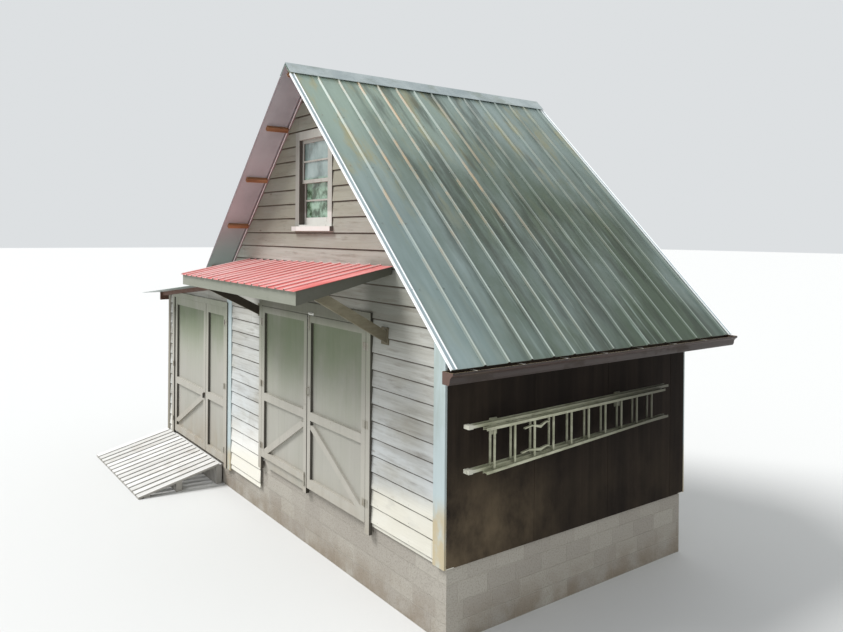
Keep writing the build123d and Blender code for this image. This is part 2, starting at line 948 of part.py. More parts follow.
left_bolt_x = main_left[1] - main_stile / 2
right_bolt_x = main_right[0] + main_stile / 2
bolt_inset = bolt_end_gap + bolt_length / 2
save(slide_bolt(left_bolt_x, main_foot + bolt_inset), "main_door_left_bolt")
head_bolt = slide_bolt(right_bolt_x, main_top - bolt_inset)
pull = pull_handle(right_bolt_x, high_ground + pull_above)
save(group([head_bolt, pull]), "main_door_right_handle")
hasp_x = leanto_wide[1] - leanto_stile / 2
hasp_z = leanto_mid_top - leanto_mid_rail / 2
leanto_face = leanto_leaf_front - seat
hasp = on_face(hasp_x, hasp_z, leanto_face, 0, hasp_plate)
hasp += on_face(hasp_x, hasp_z, leanto_face, hasp_plate[1], hasp_staple)
lock_z = hasp_z - lock_body[2] / 2 - hasp_staple[2] / 2 + 1
hasp += on_face(hasp_x, lock_z, leanto_face, 2 * hasp_plate[1], lock_body)
save(hasp, "leanto_door_hasp")


# Gable windows: casing with jamb and sill, two sashes and their glass
def window_frame():
    casing_face = back_of_boards - window_casing_thickness
    outer = (window_left - window_casing, window_right + window_casing)
    horns = (outer[0] - sill_horn, outer[1] + sill_horn)
    sill = box(*horns, sill_front, back_of_boards, window_sill - sill_depth, window_sill)
    casing_head = window_head + window_casing
    casing = box(*outer, casing_face, back_of_boards, window_sill - 1, casing_head)
    jamb = box(window_left, window_right, casing_face, inner_front, window_sill, window_head)
    light = box(
        window_left + window_jamb,
        window_right - window_jamb,
        casing_face,
        inner_front,
        window_sill + window_jamb,
        window_head - window_jamb,
    )
    return casing + sill + jamb - light


def sash(y0, z0, z1, foot_rail, head_rail):
    """A sash with one level bar, and the pane let into it."""
    x0 = window_left + window_jamb + seat
    x1 = window_right - window_jamb - seat
    frame = box(x0, x1, y0, y0 + sash_depth, z0, z1)
    low = z0 + foot_rail
    high = z1 - head_rail
    middle = (low + high) / 2
    for z_low, z_high in ((low, middle - sash_bar / 2), (middle + sash_bar / 2, high)):
        frame -= box(x0 + sash_stile, x1 - sash_stile, y0, y0 + sash_depth, z_low, z_high)
    pane_x = sash_stile - glass_rebate
    pane_y = y0 + (sash_depth - glass_thickness) / 2
    pane = box(
        x0 + pane_x,
        x1 - pane_x,
        pane_y,
        pane_y + glass_thickness,
        low - glass_rebate,
        high + glass_rebate,
    )
    return frame - pane, pane


meeting_height = (window_sill + window_head) / 2 + meeting_above_middle
upper_span = (meeting_height - sash_rail / 2, window_head - window_jamb - seat)
lower_span = (window_sill + window_jamb + seat, meeting_height + sash_rail / 2)
upper_sash, upper_pane = sash(sash_back, *upper_span, sash_rail, sash_rail)
lower_back = sash_back + sash_depth + seat
lower_sash, lower_pane = sash(lower_back, *lower_span, sash_foot_rail, sash_rail)


def both_gables(pieces):
    """The rear window is the front one turned half round about the barn's middle."""
    turned = [Pos(2 * window_centre, depth, 0) * Rot(0, 0, 180) * piece for piece in pieces]
    return group(pieces + turned)


save(both_gables([window_frame()]), "window_frames")
save(both_gables([upper_sash, lower_sash]), "window_sashes")
save(both_gables([upper_pane, lower_pane]), "window_glass")

# Canopy: ribbed sheet on joists, ledger and fascias, held by two braces. It leans down to the
# left, and its front runs out further on the right.
canopy_width = canopy_right - canopy_left
canopy_back_height = high_ground + canopy_above
canopy_middle = (canopy_left + canopy_right) / 2
canopy_reach = (canopy_reach_left + canopy_reach_right) / 2
canopy_skew = atan2(canopy_reach_right - canopy_reach_left, canopy_width)
canopy_pitch = atan2(canopy_fall, canopy_reach)
canopy_plane = Plane(
    origin=(canopy_left, 0, canopy_back_height),
    x_dir=(0, -cos(canopy_pitch), -sin(canopy_pitch)),
    z_dir=(0, -sin(canopy_pitch), cos(canopy_pitch)),
)
canopy_under = (canopy_rib_height + sheet_thickness) / cos(canopy_pitch) + seat
canopy_pivot = (canopy_middle, 0, canopy_back_height)
leaning = Pos(canopy_pivot) * Rot(0, -canopy_lean, 0) * Pos(canopy_pivot).inverse()


def canopy_front(x, back=0):
    """Where the front fascia's face stands at x, or a line that far behind it."""
    return -canopy_reach - (x - canopy_middle) * tan(canopy_skew) + back / cos(canopy_skew)


def behind_front(back):
    """All the space behind a line that runs along the canopy's front."""
    points = [
        (canopy_left, canopy_front(canopy_left, back), 0),
        (canopy_right, canopy_front(canopy_right, back), 0),
        (canopy_right, well_past, 0),
        (canopy_left, well_past, 0),
    ]
    return extrude(make_face(Polyline(points, close=True)), amount=well_past, dir=(0, 0, 1))


def canopy_line(y, drop=0):
    """Height under the canopy sheet at y, lowered by drop."""
    return canopy_back_height + y * tan(canopy_pitch) - canopy_under - drop


def canopy_stick(span_y, drops, span_x):
    """A board under the canopy sheet, as deep at its two ends as drops say."""
    outline = [
        (span_y[0], canopy_line(span_y[0])),
        (span_y[1], canopy_line(span_y[1])),
        (span_y[1], canopy_line(span_y[1], drops[1])),
        (span_y[0], canopy_line(span_y[0], drops[0])),
    ]
    return along_x(outline, *span_x)


canopy_ribs = rib_places(0, canopy_width, canopy_first_rib, canopy_rib_pitch)
sheet_reach = -canopy_front(canopy_right, -canopy_drip)
canopy_length = (sheet_reach + canopy_drip) / cos(canopy_pitch)
canopy_sheet = ribbed_sheet(canopy_length, 0, canopy_width, canopy_ribs, canopy_rib_height)
canopy_sheet = canopy_plane.location * canopy_sheet & behind_front(-canopy_drip)
save(leaning * canopy_sheet, "canopy_sheet")

fascia_span = (canopy_left + canopy_fascia_inset, canopy_right - canopy_fascia_inset)
front_span_y = (canopy_front(canopy_right), canopy_front(canopy_left, canopy_board))
front_drops = (canopy_fascia_depth, canopy_fascia_depth)
front_board = canopy_stick(front_span_y, front_drops, fascia_span)
canopy_fascias = [front_board & behind_front(0) - behind_front(canopy_board)]
room_behind = behind_front(canopy_board + seat)
side_drops = (canopy_fascia_depth, canopy_fascia_back_depth)
for x in (fascia_span[0], fascia_span[1] - canopy_board):
    side_span_y = (canopy_front(x + canopy_board, canopy_board), corner_front)
    side_board = canopy_stick(side_span_y, side_drops, (x, x + canopy_board))
    canopy_fascias.append(side_board & room_behind)
save(leaning * group(canopy_fascias), "canopy_fascias")
ledger_span = (fascia_span[0] + canopy_board + seat, fascia_span[1] - canopy_board - seat)
ledger_front = corner_front - canopy_board
ledger_drops = (canopy_fascia_back_depth, canopy_fascia_back_depth)
canopy_timbers = [canopy_stick((ledger_front, back_of_boards), ledger_drops, ledger_span)]
joist_drops = (canopy_joist_depth, canopy_joist_depth)
for x in spread(*ledger_span, canopy_joist_count + 2)[1:-1]:
    joist_span_x = (x - rafter_width / 2, x + rafter_width / 2)
    joist_span_y = (canopy_front(joist_span_x[1], canopy_board), ledger_front - seat)
    joist = canopy_stick(joist_span_y, joist_drops, joist_span_x)
    canopy_timbers.append(joist & room_behind)
save(leaning * group(canopy_timbers), "canopy_timbers")


def canopy_brace(x, brace_pitch, end_back, cleat_margins):
    """A brace that rises from a cleat on the wall to the underside of the canopy sheet."""
    rise = tan(radians(brace_pitch))
    half_drop = brace_depth / cos(radians(brace_pitch)) / 2
    foot_height = high_ground + brace_foot_above
    lean_rise = (x - canopy_middle) * tan(radians(canopy_lean))
    sheet_rise = tan(canopy_pitch)
    end_y = canopy_front(x, end_back) + seat
    under_sheet_end = canopy_line(end_y) + lean_rise - seat
    under_sheet_wall = under_sheet_end + (corner_front - end_y) * sheet_rise
    meet = (under_sheet_wall - foot_height - half_drop) / (rise + sheet_rise)
    outline = [
        (corner_front, foot_height + half_drop),
        (corner_front - meet, foot_height + half_drop + meet * rise),
        (end_y, under_sheet_end),
        (end_y, foot_height - half_drop + (corner_front - end_y) * rise),
        (corner_front, foot_height - half_drop),
    ]
    board = along_x(outline, x, x + brace_thickness)
    cleat_span_x = (x - cleat_margins[0], x + brace_thickness + cleat_margins[1])
    cleat_levels = (foot_height - half_drop - cleat_below, foot_height + half_drop + cleat_above)
    return board + box(*cleat_span_x, corner_front, back_of_boards, *cleat_levels)


canopy_braces = [
    canopy_brace(left_brace, left_brace_pitch, left_brace_end, left_cleat),
    canopy_brace(right_brace, right_brace_pitch, right_brace_end, right_cleat),
]
save(group(canopy_braces), "canopy_braces")

# Ramp: boards that run down from the lean-to doors, on three bearers
ramp_left = leanto_left + ramp_left_inset
ramp_top = leanto_floor_top - ramp_below_floor
ramp_right = -half_width - ramp_right_inset
ramp_back = casing_front - ramp_gap
ramp_front = ramp_back - ramp_reach
ramp_fall = (ramp_top - ramp_foot) / ramp_reach


def ramp_line(y, drop=0):
    return ramp_top + (y - ramp_back) * ramp_fall - drop


board_outline = [
    (ramp_front, ramp_line(ramp_front)),
    (ramp_back, ramp_line(ramp_back)),
    (ramp_back, ramp_line(ramp_back, ramp_board_thickness)),
    (ramp_front, ramp_line(ramp_front, ramp_board_thickness)),
]
boards = []
for x in spread(ramp_left, ramp_right - ramp_board_width, ramp_board_count):
    boards.append(along_x(board_outline, x, x + ramp_board_width))
save(group(boards), "ramp_boards")
bearers = []
for y1 in [ramp_front + place for place in bearer_places] + [back_of_boards - seat]:
    y0 = y1 - bearer_width
    outline = [
        (y0, 0),
        (y0, ramp_line(y0, ramp_board_thickness + seat)),
        (y1, ramp_line(y1, ramp_board_thickness + seat)),
        (y1, 0),
    ]
    bearers.append(along_x(outline, ramp_left + bearer_inset, ramp_right - bearer_inset))
save(group(bearers), "ramp_bearers")


# Ladder: each part has two flanged rails and round rungs held between their webs
def ladder_rail(x, size, near, far, near_z, far_z):
    """A flanged rail whose underside runs from near_z to far_z."""
    deep, thick = size
    web_low = (thick - rail_web) / 2
    web_high = (thick + rail_web) / 2
    section = [
        (0, 0),
        (rail_flange, 0),
        (rail_flange, web_low),
        (deep - rail_flange, web_low),
        (deep - rail_flange, 0),
        (deep, 0),
        (deep, thick),
        (deep - rail_flange, thick),
        (deep - rail_flange, web_high),
        (rail_flange, web_high),
        (rail_flange, thick),
        (0, thick),
    ]
    run = Vector(0, far - near, far_z - near_z)
    points = [(x + across, near, near_z + up) for across, up in section]
    return extrude(make_face(Polyline(points, close=True)), amount=run.length, dir=run)


def ladder_part(x, size, near, far, near_span, far_span):
    """Two rails and the rungs between them."""
    deep, thick = size
    lows = (near_span[0], far_span[0])
    highs = (near_span[1] - thick, far_span[1] - thick)
    rails = [ladder_rail(x, size, near, far, *ends) for ends in (lows, highs)]
    over_web = (thick + rail_web) / 2 + seat
    under_web = (thick - rail_web) / 2 - seat
    room_outline = [
        (near, lows[0] + over_web),
        (far, lows[1] + over_web),
        (far, highs[1] + under_web),
        (near, highs[0] + under_web),
    ]
    room = along_x(room_outline, x, x + deep)
    rungs = []
    for n in range(rung_count):
        stick = Cylinder(rung_radius, well_past)
        rungs.append(Pos(x + deep / 2, rung_first + rung_pitch * n, 0) * stick & room)
    return rails, rungs


def above_ground(levels):
    return tuple(high_ground + level for level in levels)


base_near_span = above_ground(base_near_above)
base_far_span = above_ground(base_far_above)
fly_near_span = above_ground(fly_near_above)
fly_far_span = above_ground(fly_far_above)
base_x = half_width + ladder_offset
base_deep, base_thick = base_rail
base_ends = (base_near, base_far, base_near_span, base_far_span)
base_rails, base_rungs = ladder_part(base_x, base_rail, *base_ends)
fly_ends = (fly_near, fly_far, fly_near_span, fly_far_span)
fly_rails, fly_rungs = ladder_part(base_x + base_deep + seat, fly_rail, *fly_ends)
save(group(base_rails + fly_rails), "ladder_rails")
save(group(base_rungs + fly_rungs), "ladder_rungs")
boot_back = base_near - seat
boots = []
for z in (base_near_span[0], base_near_span[1] - base_thick):
    edges = (base_x - boot_margin, base_x + base_deep + boot_margin)
    levels = (z - boot_margin, z + base_thick + boot_margin)
    boots.append(box(*edges, boot_back - boot_length, boot_back, *levels))
save(group(boots), "ladder_boots")
arm_width, arm_depth = bracket_arm
plate_width, plate_thickness = bracket_plate
upper_rise = (base_far_span[1] - base_near_span[1]) / (base_far - base_near)
brackets = []
for y in bracket_places:
    rail_top = base_near_span[1] + (y - base_near) * upper_rise
    top = rail_top - base_thick - seat
    levels = (top - arm_depth, top)
    arm = box(half_width, base_x + base_deep, y, y + arm_width, *levels)
    middle = y + arm_width / 2
    edges = (middle - plate_width / 2, middle + plate_width / 2)
    levels = (top - bracket_plate_below, top + bracket_plate_above)
    brackets.append(arm + box(half_width, half_width + plate_thickness, *edges, *levels))
save(group(brackets), "ladder_brackets")
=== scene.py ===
# %% [markdown]
# # A small barn with a lean-to
# The barn is a timber building with a metal roof, lap siding, painted plywood doors and a
# faded red canopy. Its solids come ready placed from the CAD model, so this lesson gives
# them their finishes and adds the boards and fittings that are too fine for the solids.

# %% Load the frame
import json
from math import atan2, cos, degrees, radians, sin, tan

import bpy
from mathutils import Matrix, Vector


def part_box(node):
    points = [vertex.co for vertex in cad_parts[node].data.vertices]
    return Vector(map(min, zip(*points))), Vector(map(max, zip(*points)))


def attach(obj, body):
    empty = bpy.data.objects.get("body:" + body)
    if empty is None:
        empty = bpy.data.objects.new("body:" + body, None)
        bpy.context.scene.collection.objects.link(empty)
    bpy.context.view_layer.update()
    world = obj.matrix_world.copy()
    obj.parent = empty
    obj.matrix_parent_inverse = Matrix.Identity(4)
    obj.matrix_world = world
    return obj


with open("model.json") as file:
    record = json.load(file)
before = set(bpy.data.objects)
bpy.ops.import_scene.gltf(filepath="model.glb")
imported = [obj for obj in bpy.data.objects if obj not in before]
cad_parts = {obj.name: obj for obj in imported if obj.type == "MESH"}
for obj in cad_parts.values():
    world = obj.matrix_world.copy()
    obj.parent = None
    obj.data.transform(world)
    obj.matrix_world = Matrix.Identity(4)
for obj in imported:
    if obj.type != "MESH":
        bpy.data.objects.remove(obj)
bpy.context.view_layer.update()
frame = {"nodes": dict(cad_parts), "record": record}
nodes = frame["nodes"]

# %% [markdown]
# ## The camera
# The photograph was taken from the right of the front, a little higher than the eaves. A
# nearly level camera keeps upright lines upright, and the lens shift moves the frame down
# without tipping the camera, as a shift lens does.

# %% Place the camera
camera_place = Vector((8.685, -4.678, 4.133))
yaw, tip, roll = 0.93965, 0.00186, -0.00808
forward = Vector((-sin(yaw) * cos(tip), cos(yaw) * cos(tip), -sin(tip)))
level_right = Vector((cos(yaw), sin(yaw), 0))
level_down = forward.cross(level_right)
right = cos(roll) * level_right + sin(roll) * level_down
down = cos(roll) * level_down - sin(roll) * level_right
turn = Matrix((right, -down, -forward)).transposed().to_4x4()
lens = bpy.data.cameras.new("barn_camera")
lens.sensor_fit = "HORIZONTAL"
lens.sensor_width = 36
lens.lens = 31.61
lens.shift_y = -0.0948
camera = bpy.data.objects.new("barn_camera", lens)
camera.matrix_world = Matrix.Translation(camera_place) @ turn
bpy.context.scene.collection.objects.link(camera)
bpy.context.scene.camera = camera
print("camera at", tuple(camera_place), "lens", lens.lens)

# %% [markdown]
# ## Floor and light
# A wide pale floor and an even sky light show the barn as on an overcast day. One broad lamp,
# high in front and to the left, gives the boards and door frames soft shadows on their
# right. A plain studio keeps the finishes easy to judge.

# %% Lay the floor and hang the light
bpy.ops.object.select_all(action="DESELECT")
bpy.ops.mesh.primitive_plane_add(size=400, location=(0, 0, 0))
floor = bpy.context.object
floor.name = "studio_floor"
floor_finish = bpy.data.materials.new("pale_floor")
floor_finish.use_nodes = True
floor_shader = floor_finish.node_tree.nodes["Principled BSDF"]
floor_shader.inputs["Base Color"].default_value = (0.66, 0.66, 0.65, 1)
floor_shader.inputs["Roughness"].default_value = 0.9
floor.data.materials.append(floor_finish)

world = bpy.data.worlds.new("studio_sky")
world.use_nodes = True
sky = world.node_tree.nodes["Background"]
sky.inputs["Color"].default_value = (0.95, 0.98, 1.0, 1)
sky.inputs["Strength"].default_value = 0.76
bpy.context.scene.world = world
sun = bpy.data.lights.new("soft_sun", "SUN")
sun.energy = 3.2
sun.angle = radians(24)
sun_lamp = bpy.data.objects.new("soft_sun", sun)
sun_aim = Vector((0.55, 0.62, -0.95))
sun_lamp.rotation_euler = sun_aim.to_track_quat("-Z", "Y").to_euler()
bpy.context.scene.collection.objects.link(sun_lamp)
bpy.context.scene.view_settings.view_transform = "Standard"
print("lights", sun_lamp.name, world.name)


# %% [markdown]
# ## Working with shader nodes in code
# A material is a network of small nodes. The same network could be drawn in the Shader
# Editor, but code keeps twenty finishes alike. This class gives short names to the nodes that
# come back most, so that each finish below reads as a list of layers.

# %% A network of shader nodes
class Network:
    """A node tree. Each method adds a node and gives back what comes out of it."""

    def __init__(self, tree):
        self.tree = tree

    def place(self, kind, inputs=None, **settings):
        """Adds a node, then sets or links its inputs."""
        node = self.tree.nodes.new(kind)
        for name, value in settings.items():
            setattr(node, name, value)
        for key, value in (inputs or {}).items():
            if isinstance(value, bpy.types.NodeSocket):
                self.tree.links.new(value, node.inputs[key])
            else:
                node.inputs[key].default_value = value
        return node.outputs

    def calc(self, operation, a, b=0.0):
        return self.place("ShaderNodeMath", {0: a, 1: b}, operation=operation)[0]

    def plus(self, a, b):
        return self.calc("ADD", a, b)

    def minus(self, a, b):
        return self.calc("SUBTRACT", a, b)

    def times(self, first, *others):
        """The first value or mask, multiplied by the others in turn."""
        for other in others:
            first = self.calc("MULTIPLY", first, other)
        return first

    def over(self, a, b):
        return self.calc("DIVIDE", a, b)

    def higher(self, a, b):
        return self.calc("MAXIMUM", a, b)

    def ramp(self, value, low, high, to_low=0.0, to_high=1.0):
        """Turns low..high into to_low..to_high with soft ends."""
        inputs = {0: value, 1: low, 2: high, 3: to_low, 4: to_high}
        return self.place("ShaderNodeMapRange", inputs, interpolation_type="SMOOTHSTEP")[0]

    def fall(self, value, low, high, full=1.0):
        """Full below low and nothing above high."""
        return self.ramp(value, low, high, full, 0.0)

    def blend(self, amount, a, b):
        """Mixes two colours. Inputs 6 and 7 are the Mix node's colour sockets."""
        return self.place("ShaderNodeMix", {0: amount, 6: a, 7: b}, data_type="RGBA")[2]

    def noise(self, at, scale, detail, **others):
        """Soft noise at a place, from 0 to 1."""
        inputs = {"Vector": at, "Scale": scale, "Detail": detail}
        inputs.update({key.capitalize(): value for key, value in others.items()})
        return self.place("ShaderNodeTexNoise", inputs)[0]

    def drawn_number(self, seed):
        """An unchanging number from 0 to 1 for each seed."""
        return self.place("ShaderNodeTexWhiteNoise", {"W": seed}, noise_dimensions="1D")[0]


# %% [markdown]
# ## Shared effects
# Six effects come back on many finishes: the grain of wood, the change of tone from one
# board to the next, knots, nail heads, blotches of dirt or rust, and the crowns of a ribbed
# sheet. Each is a node group that is built once and placed in each material with its own
# values. A group only works out masks and values, and the shader stays in the material.

# %% A group of nodes
class Group(Network):
    """A node group with named inputs, each with its value, and named outputs."""

    def __init__(self, name, inputs, outputs):
        super().__init__(bpy.data.node_groups.new(name, "ShaderNodeTree"))
        sockets = self.tree.interface
        for label, value in inputs.items():
            kind = "NodeSocketVector" if isinstance(value, tuple) else "NodeSocketFloat"
            socket = sockets.new_socket(label, in_out="INPUT", socket_type=kind)
            socket.default_value = value
        for label in outputs:
            sockets.new_socket(label, in_out="OUTPUT", socket_type="NodeSocketFloat")
        self.came = self.tree.nodes.new("NodeGroupInput").outputs
        self.out = self.tree.nodes.new("NodeGroupOutput").inputs

    def stretched(self):
        """The place on the object, stretched by the group's own amounts."""
        inputs = {0: self.came["Vector"], 1: self.came["Stretch"]}
        return self.place("ShaderNodeVectorMath", inputs, operation="MULTIPLY")[0]

    def give(self, **values):
        """Links each value to the output of its name."""
        for key, value in values.items():
            self.tree.links.new(value, self.out[key.capitalize()])
        print("group", self.tree.name, "gives", list(values))


# %% Group for wood grain
on_object = {"Vector": (0, 0, 0), "Stretch": (1, 1, 1)}
grain = Group("wood_grain", {**on_object, "Detail": 6.0}, ["Fibre", "Figure"])
at = grain.stretched()
fine = grain.noise(at, 1.0, grain.came["Detail"], roughness=0.68)
broad = grain.noise(at, 0.22, 3.0, distortion=0.6)
grain.give(fibre=grain.ramp(fine, 0.3, 0.7), figure=grain.ramp(broad, 0.32, 0.68))

# %% Group for the tone of single boards
boards = Group(
    "board_tone",
    {"Across": 0.0, "Along": 0.0, "Start": 0.0, "Pitch": 0.2, "Length": 2.4, "Seed": 0.0},
    ["Tone", "Joint", "Edge"],
)
came = boards.came
course = boards.over(boards.minus(came["Across"], came["Start"]), came["Pitch"])
row_seed = boards.plus(boards.calc("FLOOR", course), came["Seed"])
slip = boards.drawn_number(row_seed)
step = boards.plus(boards.over(came["Along"], came["Length"]), slip)
piece_seed = boards.plus(boards.times(row_seed, 7.13), boards.calc("FLOOR", step))
near_end = boards.times(boards.calc("FRACT", step), came["Length"])
boards.give(
    tone=boards.drawn_number(piece_seed),
    joint=boards.fall(near_end, 0.002, 0.006),
    edge=boards.calc("FRACT", course),
)

# %% Group for blotches
blotches = Group("blotches", {**on_object, "Detail": 5.0, "Low": 0.5, "High": 0.65}, ["Mask"])
came = blotches.came
cloud = blotches.noise(blotches.stretched(), 1.0, came["Detail"], roughness=0.62)
blotches.give(mask=blotches.ramp(cloud, came["Low"], came["High"]))

# %% Group for knots
knots = Group("wood_knots", {**on_object, "Size": 0.1}, ["Mask"])
cells = knots.place("ShaderNodeTexVoronoi", {"Vector": knots.stretched(), "Scale": 1.0})
near = knots.fall(knots.over(cells["Distance"], knots.came["Size"]), 0.35, 1.0)
drawn = knots.place("ShaderNodeTexWhiteNoise", {"Vector": cells["Position"]})[0]
knots.give(mask=knots.times(near, knots.ramp(drawn, 0.35, 0.5)))

# %% Group for nail heads
nails = Group(
    "nail_heads", {"Along": 0.0, "Across": 0.0, "Spacing": 0.6, "Radius": 0.004}, ["Mask"]
)
came = nails.came
share = nails.calc("FRACT", nails.over(came["Along"], came["Spacing"]))
off_middle = nails.times(nails.minus(share, 0.5), came["Spacing"])
squares = nails.plus(
    nails.times(off_middle, off_middle), nails.times(came["Across"], came["Across"])
)
away = nails.over(nails.calc("SQRT", squares), came["Radius"])
nails.give(mask=nails.fall(away, 0.7, 1.1))

# %% Group for the crowns of a ribbed sheet
crowns = Group(
    "rib_crown", {"Run": 0.0, "Height": 0.0, "Sine": 0.0, "Cosine": 1.0, "Level": 0.0}, ["Above"]
)
came = crowns.came
side = crowns.times(crowns.calc("ABSOLUTE", came["Run"]), came["Sine"])
rise = crowns.times(came["Height"], came["Cosine"])
crowns.give(above=crowns.minus(crowns.plus(side, rise), came["Level"]))


# %% [markdown]
# ## Starting and finishing a material
# Every finish starts from Object coordinates, which stay with the piece when a door swings,
# and ends in one Principled shader with a colour, a roughness and a bump. In between, tints
# are laid over each other through masks, as thin coats of paint would be.

# %% Tints
def paint(red, green, blue):
    """A colour, given as 0 to 255, as the linear colour that shaders use."""
    linear = []
    for level in (red, green, blue):
        share = level / 255
        linear.append(share / 12.92 if share <= 0.04045 else ((share + 0.055) / 1.055) ** 2.4)
    return (*linear, 1.0)


def dimmer(tint, share):
    return [level * share for level in tint]


print("mid grey of 128 is", round(paint(128, 128, 128)[0], 3), "for a shader")


# %% A finish being built
class Finish(Network):
    """A material, with its place on the object ready to use and its colour so far."""

    def __init__(self, name, metallic=0.0, specular=0.4):
        self.material = bpy.data.materials.new(name)
        self.material.use_nodes = True
        super().__init__(self.material.node_tree)
        self.shader = self.tree.nodes["Principled BSDF"]
        self.shader.inputs["Metallic"].default_value = metallic
        self.shader.inputs["Specular IOR Level"].default_value = specular
        source = self.place("ShaderNodeTexCoord")
        self.at = source["Object"]
        self.x, self.y, self.z = self.place("ShaderNodeSeparateXYZ", {0: self.at})
        facing = self.place("ShaderNodeSeparateXYZ", {0: source["Normal"]})
        self.facing_x, self.facing_y, self.facing_z = facing

    def effect(self, group, *wanted, **values):
        """Places a shared effect and gives back the outputs that are wanted by name."""
        inputs = {key.capitalize(): value for key, value in values.items()}
        outputs = self.place("ShaderNodeGroup", inputs, node_tree=group.tree)
        return [outputs[name] for name in wanted]

    def fibres(self, stretch):
        return self.effect(grain, "Fibre", "Figure", vector=self.at, stretch=stretch)

    def blotch(self, stretch, low, high, detail=5.0):
        values = {"vector": self.at, "stretch": stretch, "detail": detail}
        return self.effect(blotches, "Mask", low=low, high=high, **values)[0]

    def boards(self, across, along, start, pitch, length, seed):
        values = {"start": start, "pitch": pitch, "length": length, "seed": seed}
        return self.effect(boards, "Tone", "Joint", "Edge", across=across, along=along, **values)

    def knots(self, stretch, size):
        return self.effect(knots, "Mask", vector=self.at, stretch=stretch, size=size)[0]

    def nails(self, along, across, spacing, radius):
        values = {"spacing": spacing, "radius": radius}
        return self.effect(nails, "Mask", along=along, across=across, **values)[0]

    def between(self, amount, first, second):
        """A colour between two tints of 0 to 255."""
        return self.blend(amount, paint(*first), paint(*second))

    def base(self, amount, first, second):
        self.colour = self.between(amount, first, second)

    def coated(self, colour, mask, tint, share=1.0):
        """The colour with a share of a tint over it where the mask is."""
        amount = mask if share == 1.0 else self.times(mask, share)
        return self.blend(amount, colour, paint(*tint))

    def lay(self, mask, tint, share=1.0):
        self.colour = self.coated(self.colour, mask, tint, share)

    def done(self, roughness, height=None, depth=0.001):
        """Links the colour, the roughness and the bump, and gives back the material."""
        self.tree.links.new(self.colour, self.shader.inputs["Base Color"])
        if isinstance(roughness, bpy.types.NodeSocket):
            self.tree.links.new(roughness, self.shader.inputs["Roughness"])
        else:
            self.shader.inputs["Roughness"].default_value = roughness
        if height is not None:
            inputs = {"Height": height, "Distance": depth, "Strength": 1.0}
            bump = self.place("ShaderNodeBump", inputs)
            self.tree.links.new(bump[0], self.shader.inputs["Normal"])
        print("finish", self.material.name)
        return self.material


# %% [markdown]
# ## Weathered wood
# Bare boards turn grey and brown in bands, each board in its own tone. The grain is noise
# that is stretched along the board, and rain splash leaves the lowest courses pale. The
# gable is browner than the courses below it. Painted shade darkens the wall under the
# canopy's end, the top of each board under the lap above, and the boards' undersides.

# %% Lap siding
siding_pitch = 0.1955
siding_start = 0.241
board_stock = 4.88
stud_spacing = 0.61
foot_fall = 0.13


def lap_siding():
    wood = Finish("lap_siding_wood", specular=0.2)
    fibre, figure = wood.fibres((1.5, 1.5, 46))
    along = wood.plus(wood.x, wood.y)
    tone, joint, edge = wood.boards(wood.z, along, siding_start, siding_pitch, board_stock, 11.0)
    mixed = wood.plus(wood.times(tone, 0.6), wood.times(figure, 0.3))
    wood.base(mixed, (160, 157, 148), (202, 202, 196))
    wood.lay(fibre, (132, 126, 114), 0.4)
    cool = wood.blotch((0.8, 0.8, 1.5), 0.3, 0.65)
    cool = wood.times(wood.ramp(wood.z, 1.0, 3.4, 0.75, 0.1), cool)
    wood.lay(cool, (206, 212, 216))
    warm = wood.blotch((0.9, 0.9, 1.8), 0.28, 0.62)
    warm = wood.times(wood.ramp(wood.z, 3.3, 5.0, 0.1, 0.75), warm)
    wood.lay(warm, (146, 140, 120))
    aged = wood.ramp(wood.z, 3.5, 4.0, 0.0, 0.42)
    wood.lay(aged, (140, 143, 130))
    brown_left = wood.times(wood.ramp(wood.z, 3.9, 4.3, 0.0, 0.42), wood.fall(wood.x, -0.7, 0.5))
    peak = wood.ramp(wood.z, 4.9, 5.8, 0.0, 0.5)
    wood.lay(wood.higher(brown_left, peak), (104, 100, 86))
    # painted shade: darkens the front wall under the canopy's right end
    under_canopy = wood.ramp(wood.z, 2.5, 3.3, 0.0, 0.6)
    under_canopy = wood.times(under_canopy, wood.fall(wood.z, 3.75, 3.95))
    canopy_end = wood.times(wood.ramp(wood.x, 1.2, 1.5), wood.ramp(wood.x, 1.9, 2.5, 1.0, 0.35))
    painted_canopy_shade = wood.times(under_canopy, canopy_end, wood.fall(wood.y, 1.0, 1.2))
    wood.lay(painted_canopy_shade, (96, 100, 90))
    ash = wood.blotch((0.6, 0.6, 7.0), 0.5, 0.68)
    wood.lay(ash, (124, 118, 108), 0.36)
    knot = wood.knots((1.7, 1.7, 5.1), 0.10)
    wood.lay(knot, (92, 78, 64), 0.46)
    weather = wood.blotch((1.8, 1.8, 14), 0.54, 0.70, 7.0)
    wood.lay(weather, (98, 86, 72), 0.34)
    over_foot = wood.minus(wood.z, wood.times(wood.x, foot_fall))
    bleach = wood.times(wood.fall(over_foot, 1.1, 1.7, 0.7), wood.fall(wood.x, -1.5, 1.2))
    wood.lay(bleach, (236, 234, 228))
    low = wood.fall(over_foot, 0.90, 1.18, 0.75)
    splash = wood.times(low, wood.blotch((1.4, 1.4, 3.0), 0.2, 0.5))
    wood.lay(splash, (224, 220, 206))
    over_nails = wood.times(wood.minus(edge, 0.16), siding_pitch)
    nail = wood.nails(along, over_nails, stud_spacing, 0.0045)
    wood.lay(nail, (84, 76, 68), 0.7)
    # painted shade: a ragged dark line at the top of each board's face, under the lap above
    ragged = wood.plus(edge, wood.times(wood.blotch((3, 3, 1), 0.3, 0.7), 0.03))
    shade = wood.ramp(ragged, 0.905, 0.955, 0.0, 0.82)
    wood.lay(shade, (66, 56, 46))
    # painted shade on faces that point down, such as the butts of the boards
    under = wood.fall(wood.facing_z, -0.7, -0.4, 0.8)
    wood.lay(under, (70, 60, 50))
    wood.lay(joint, (70, 60, 50), 0.45)
    height = wood.minus(wood.times(fibre, 0.7), joint)
    return wood.done(0.86, height, 0.0009)


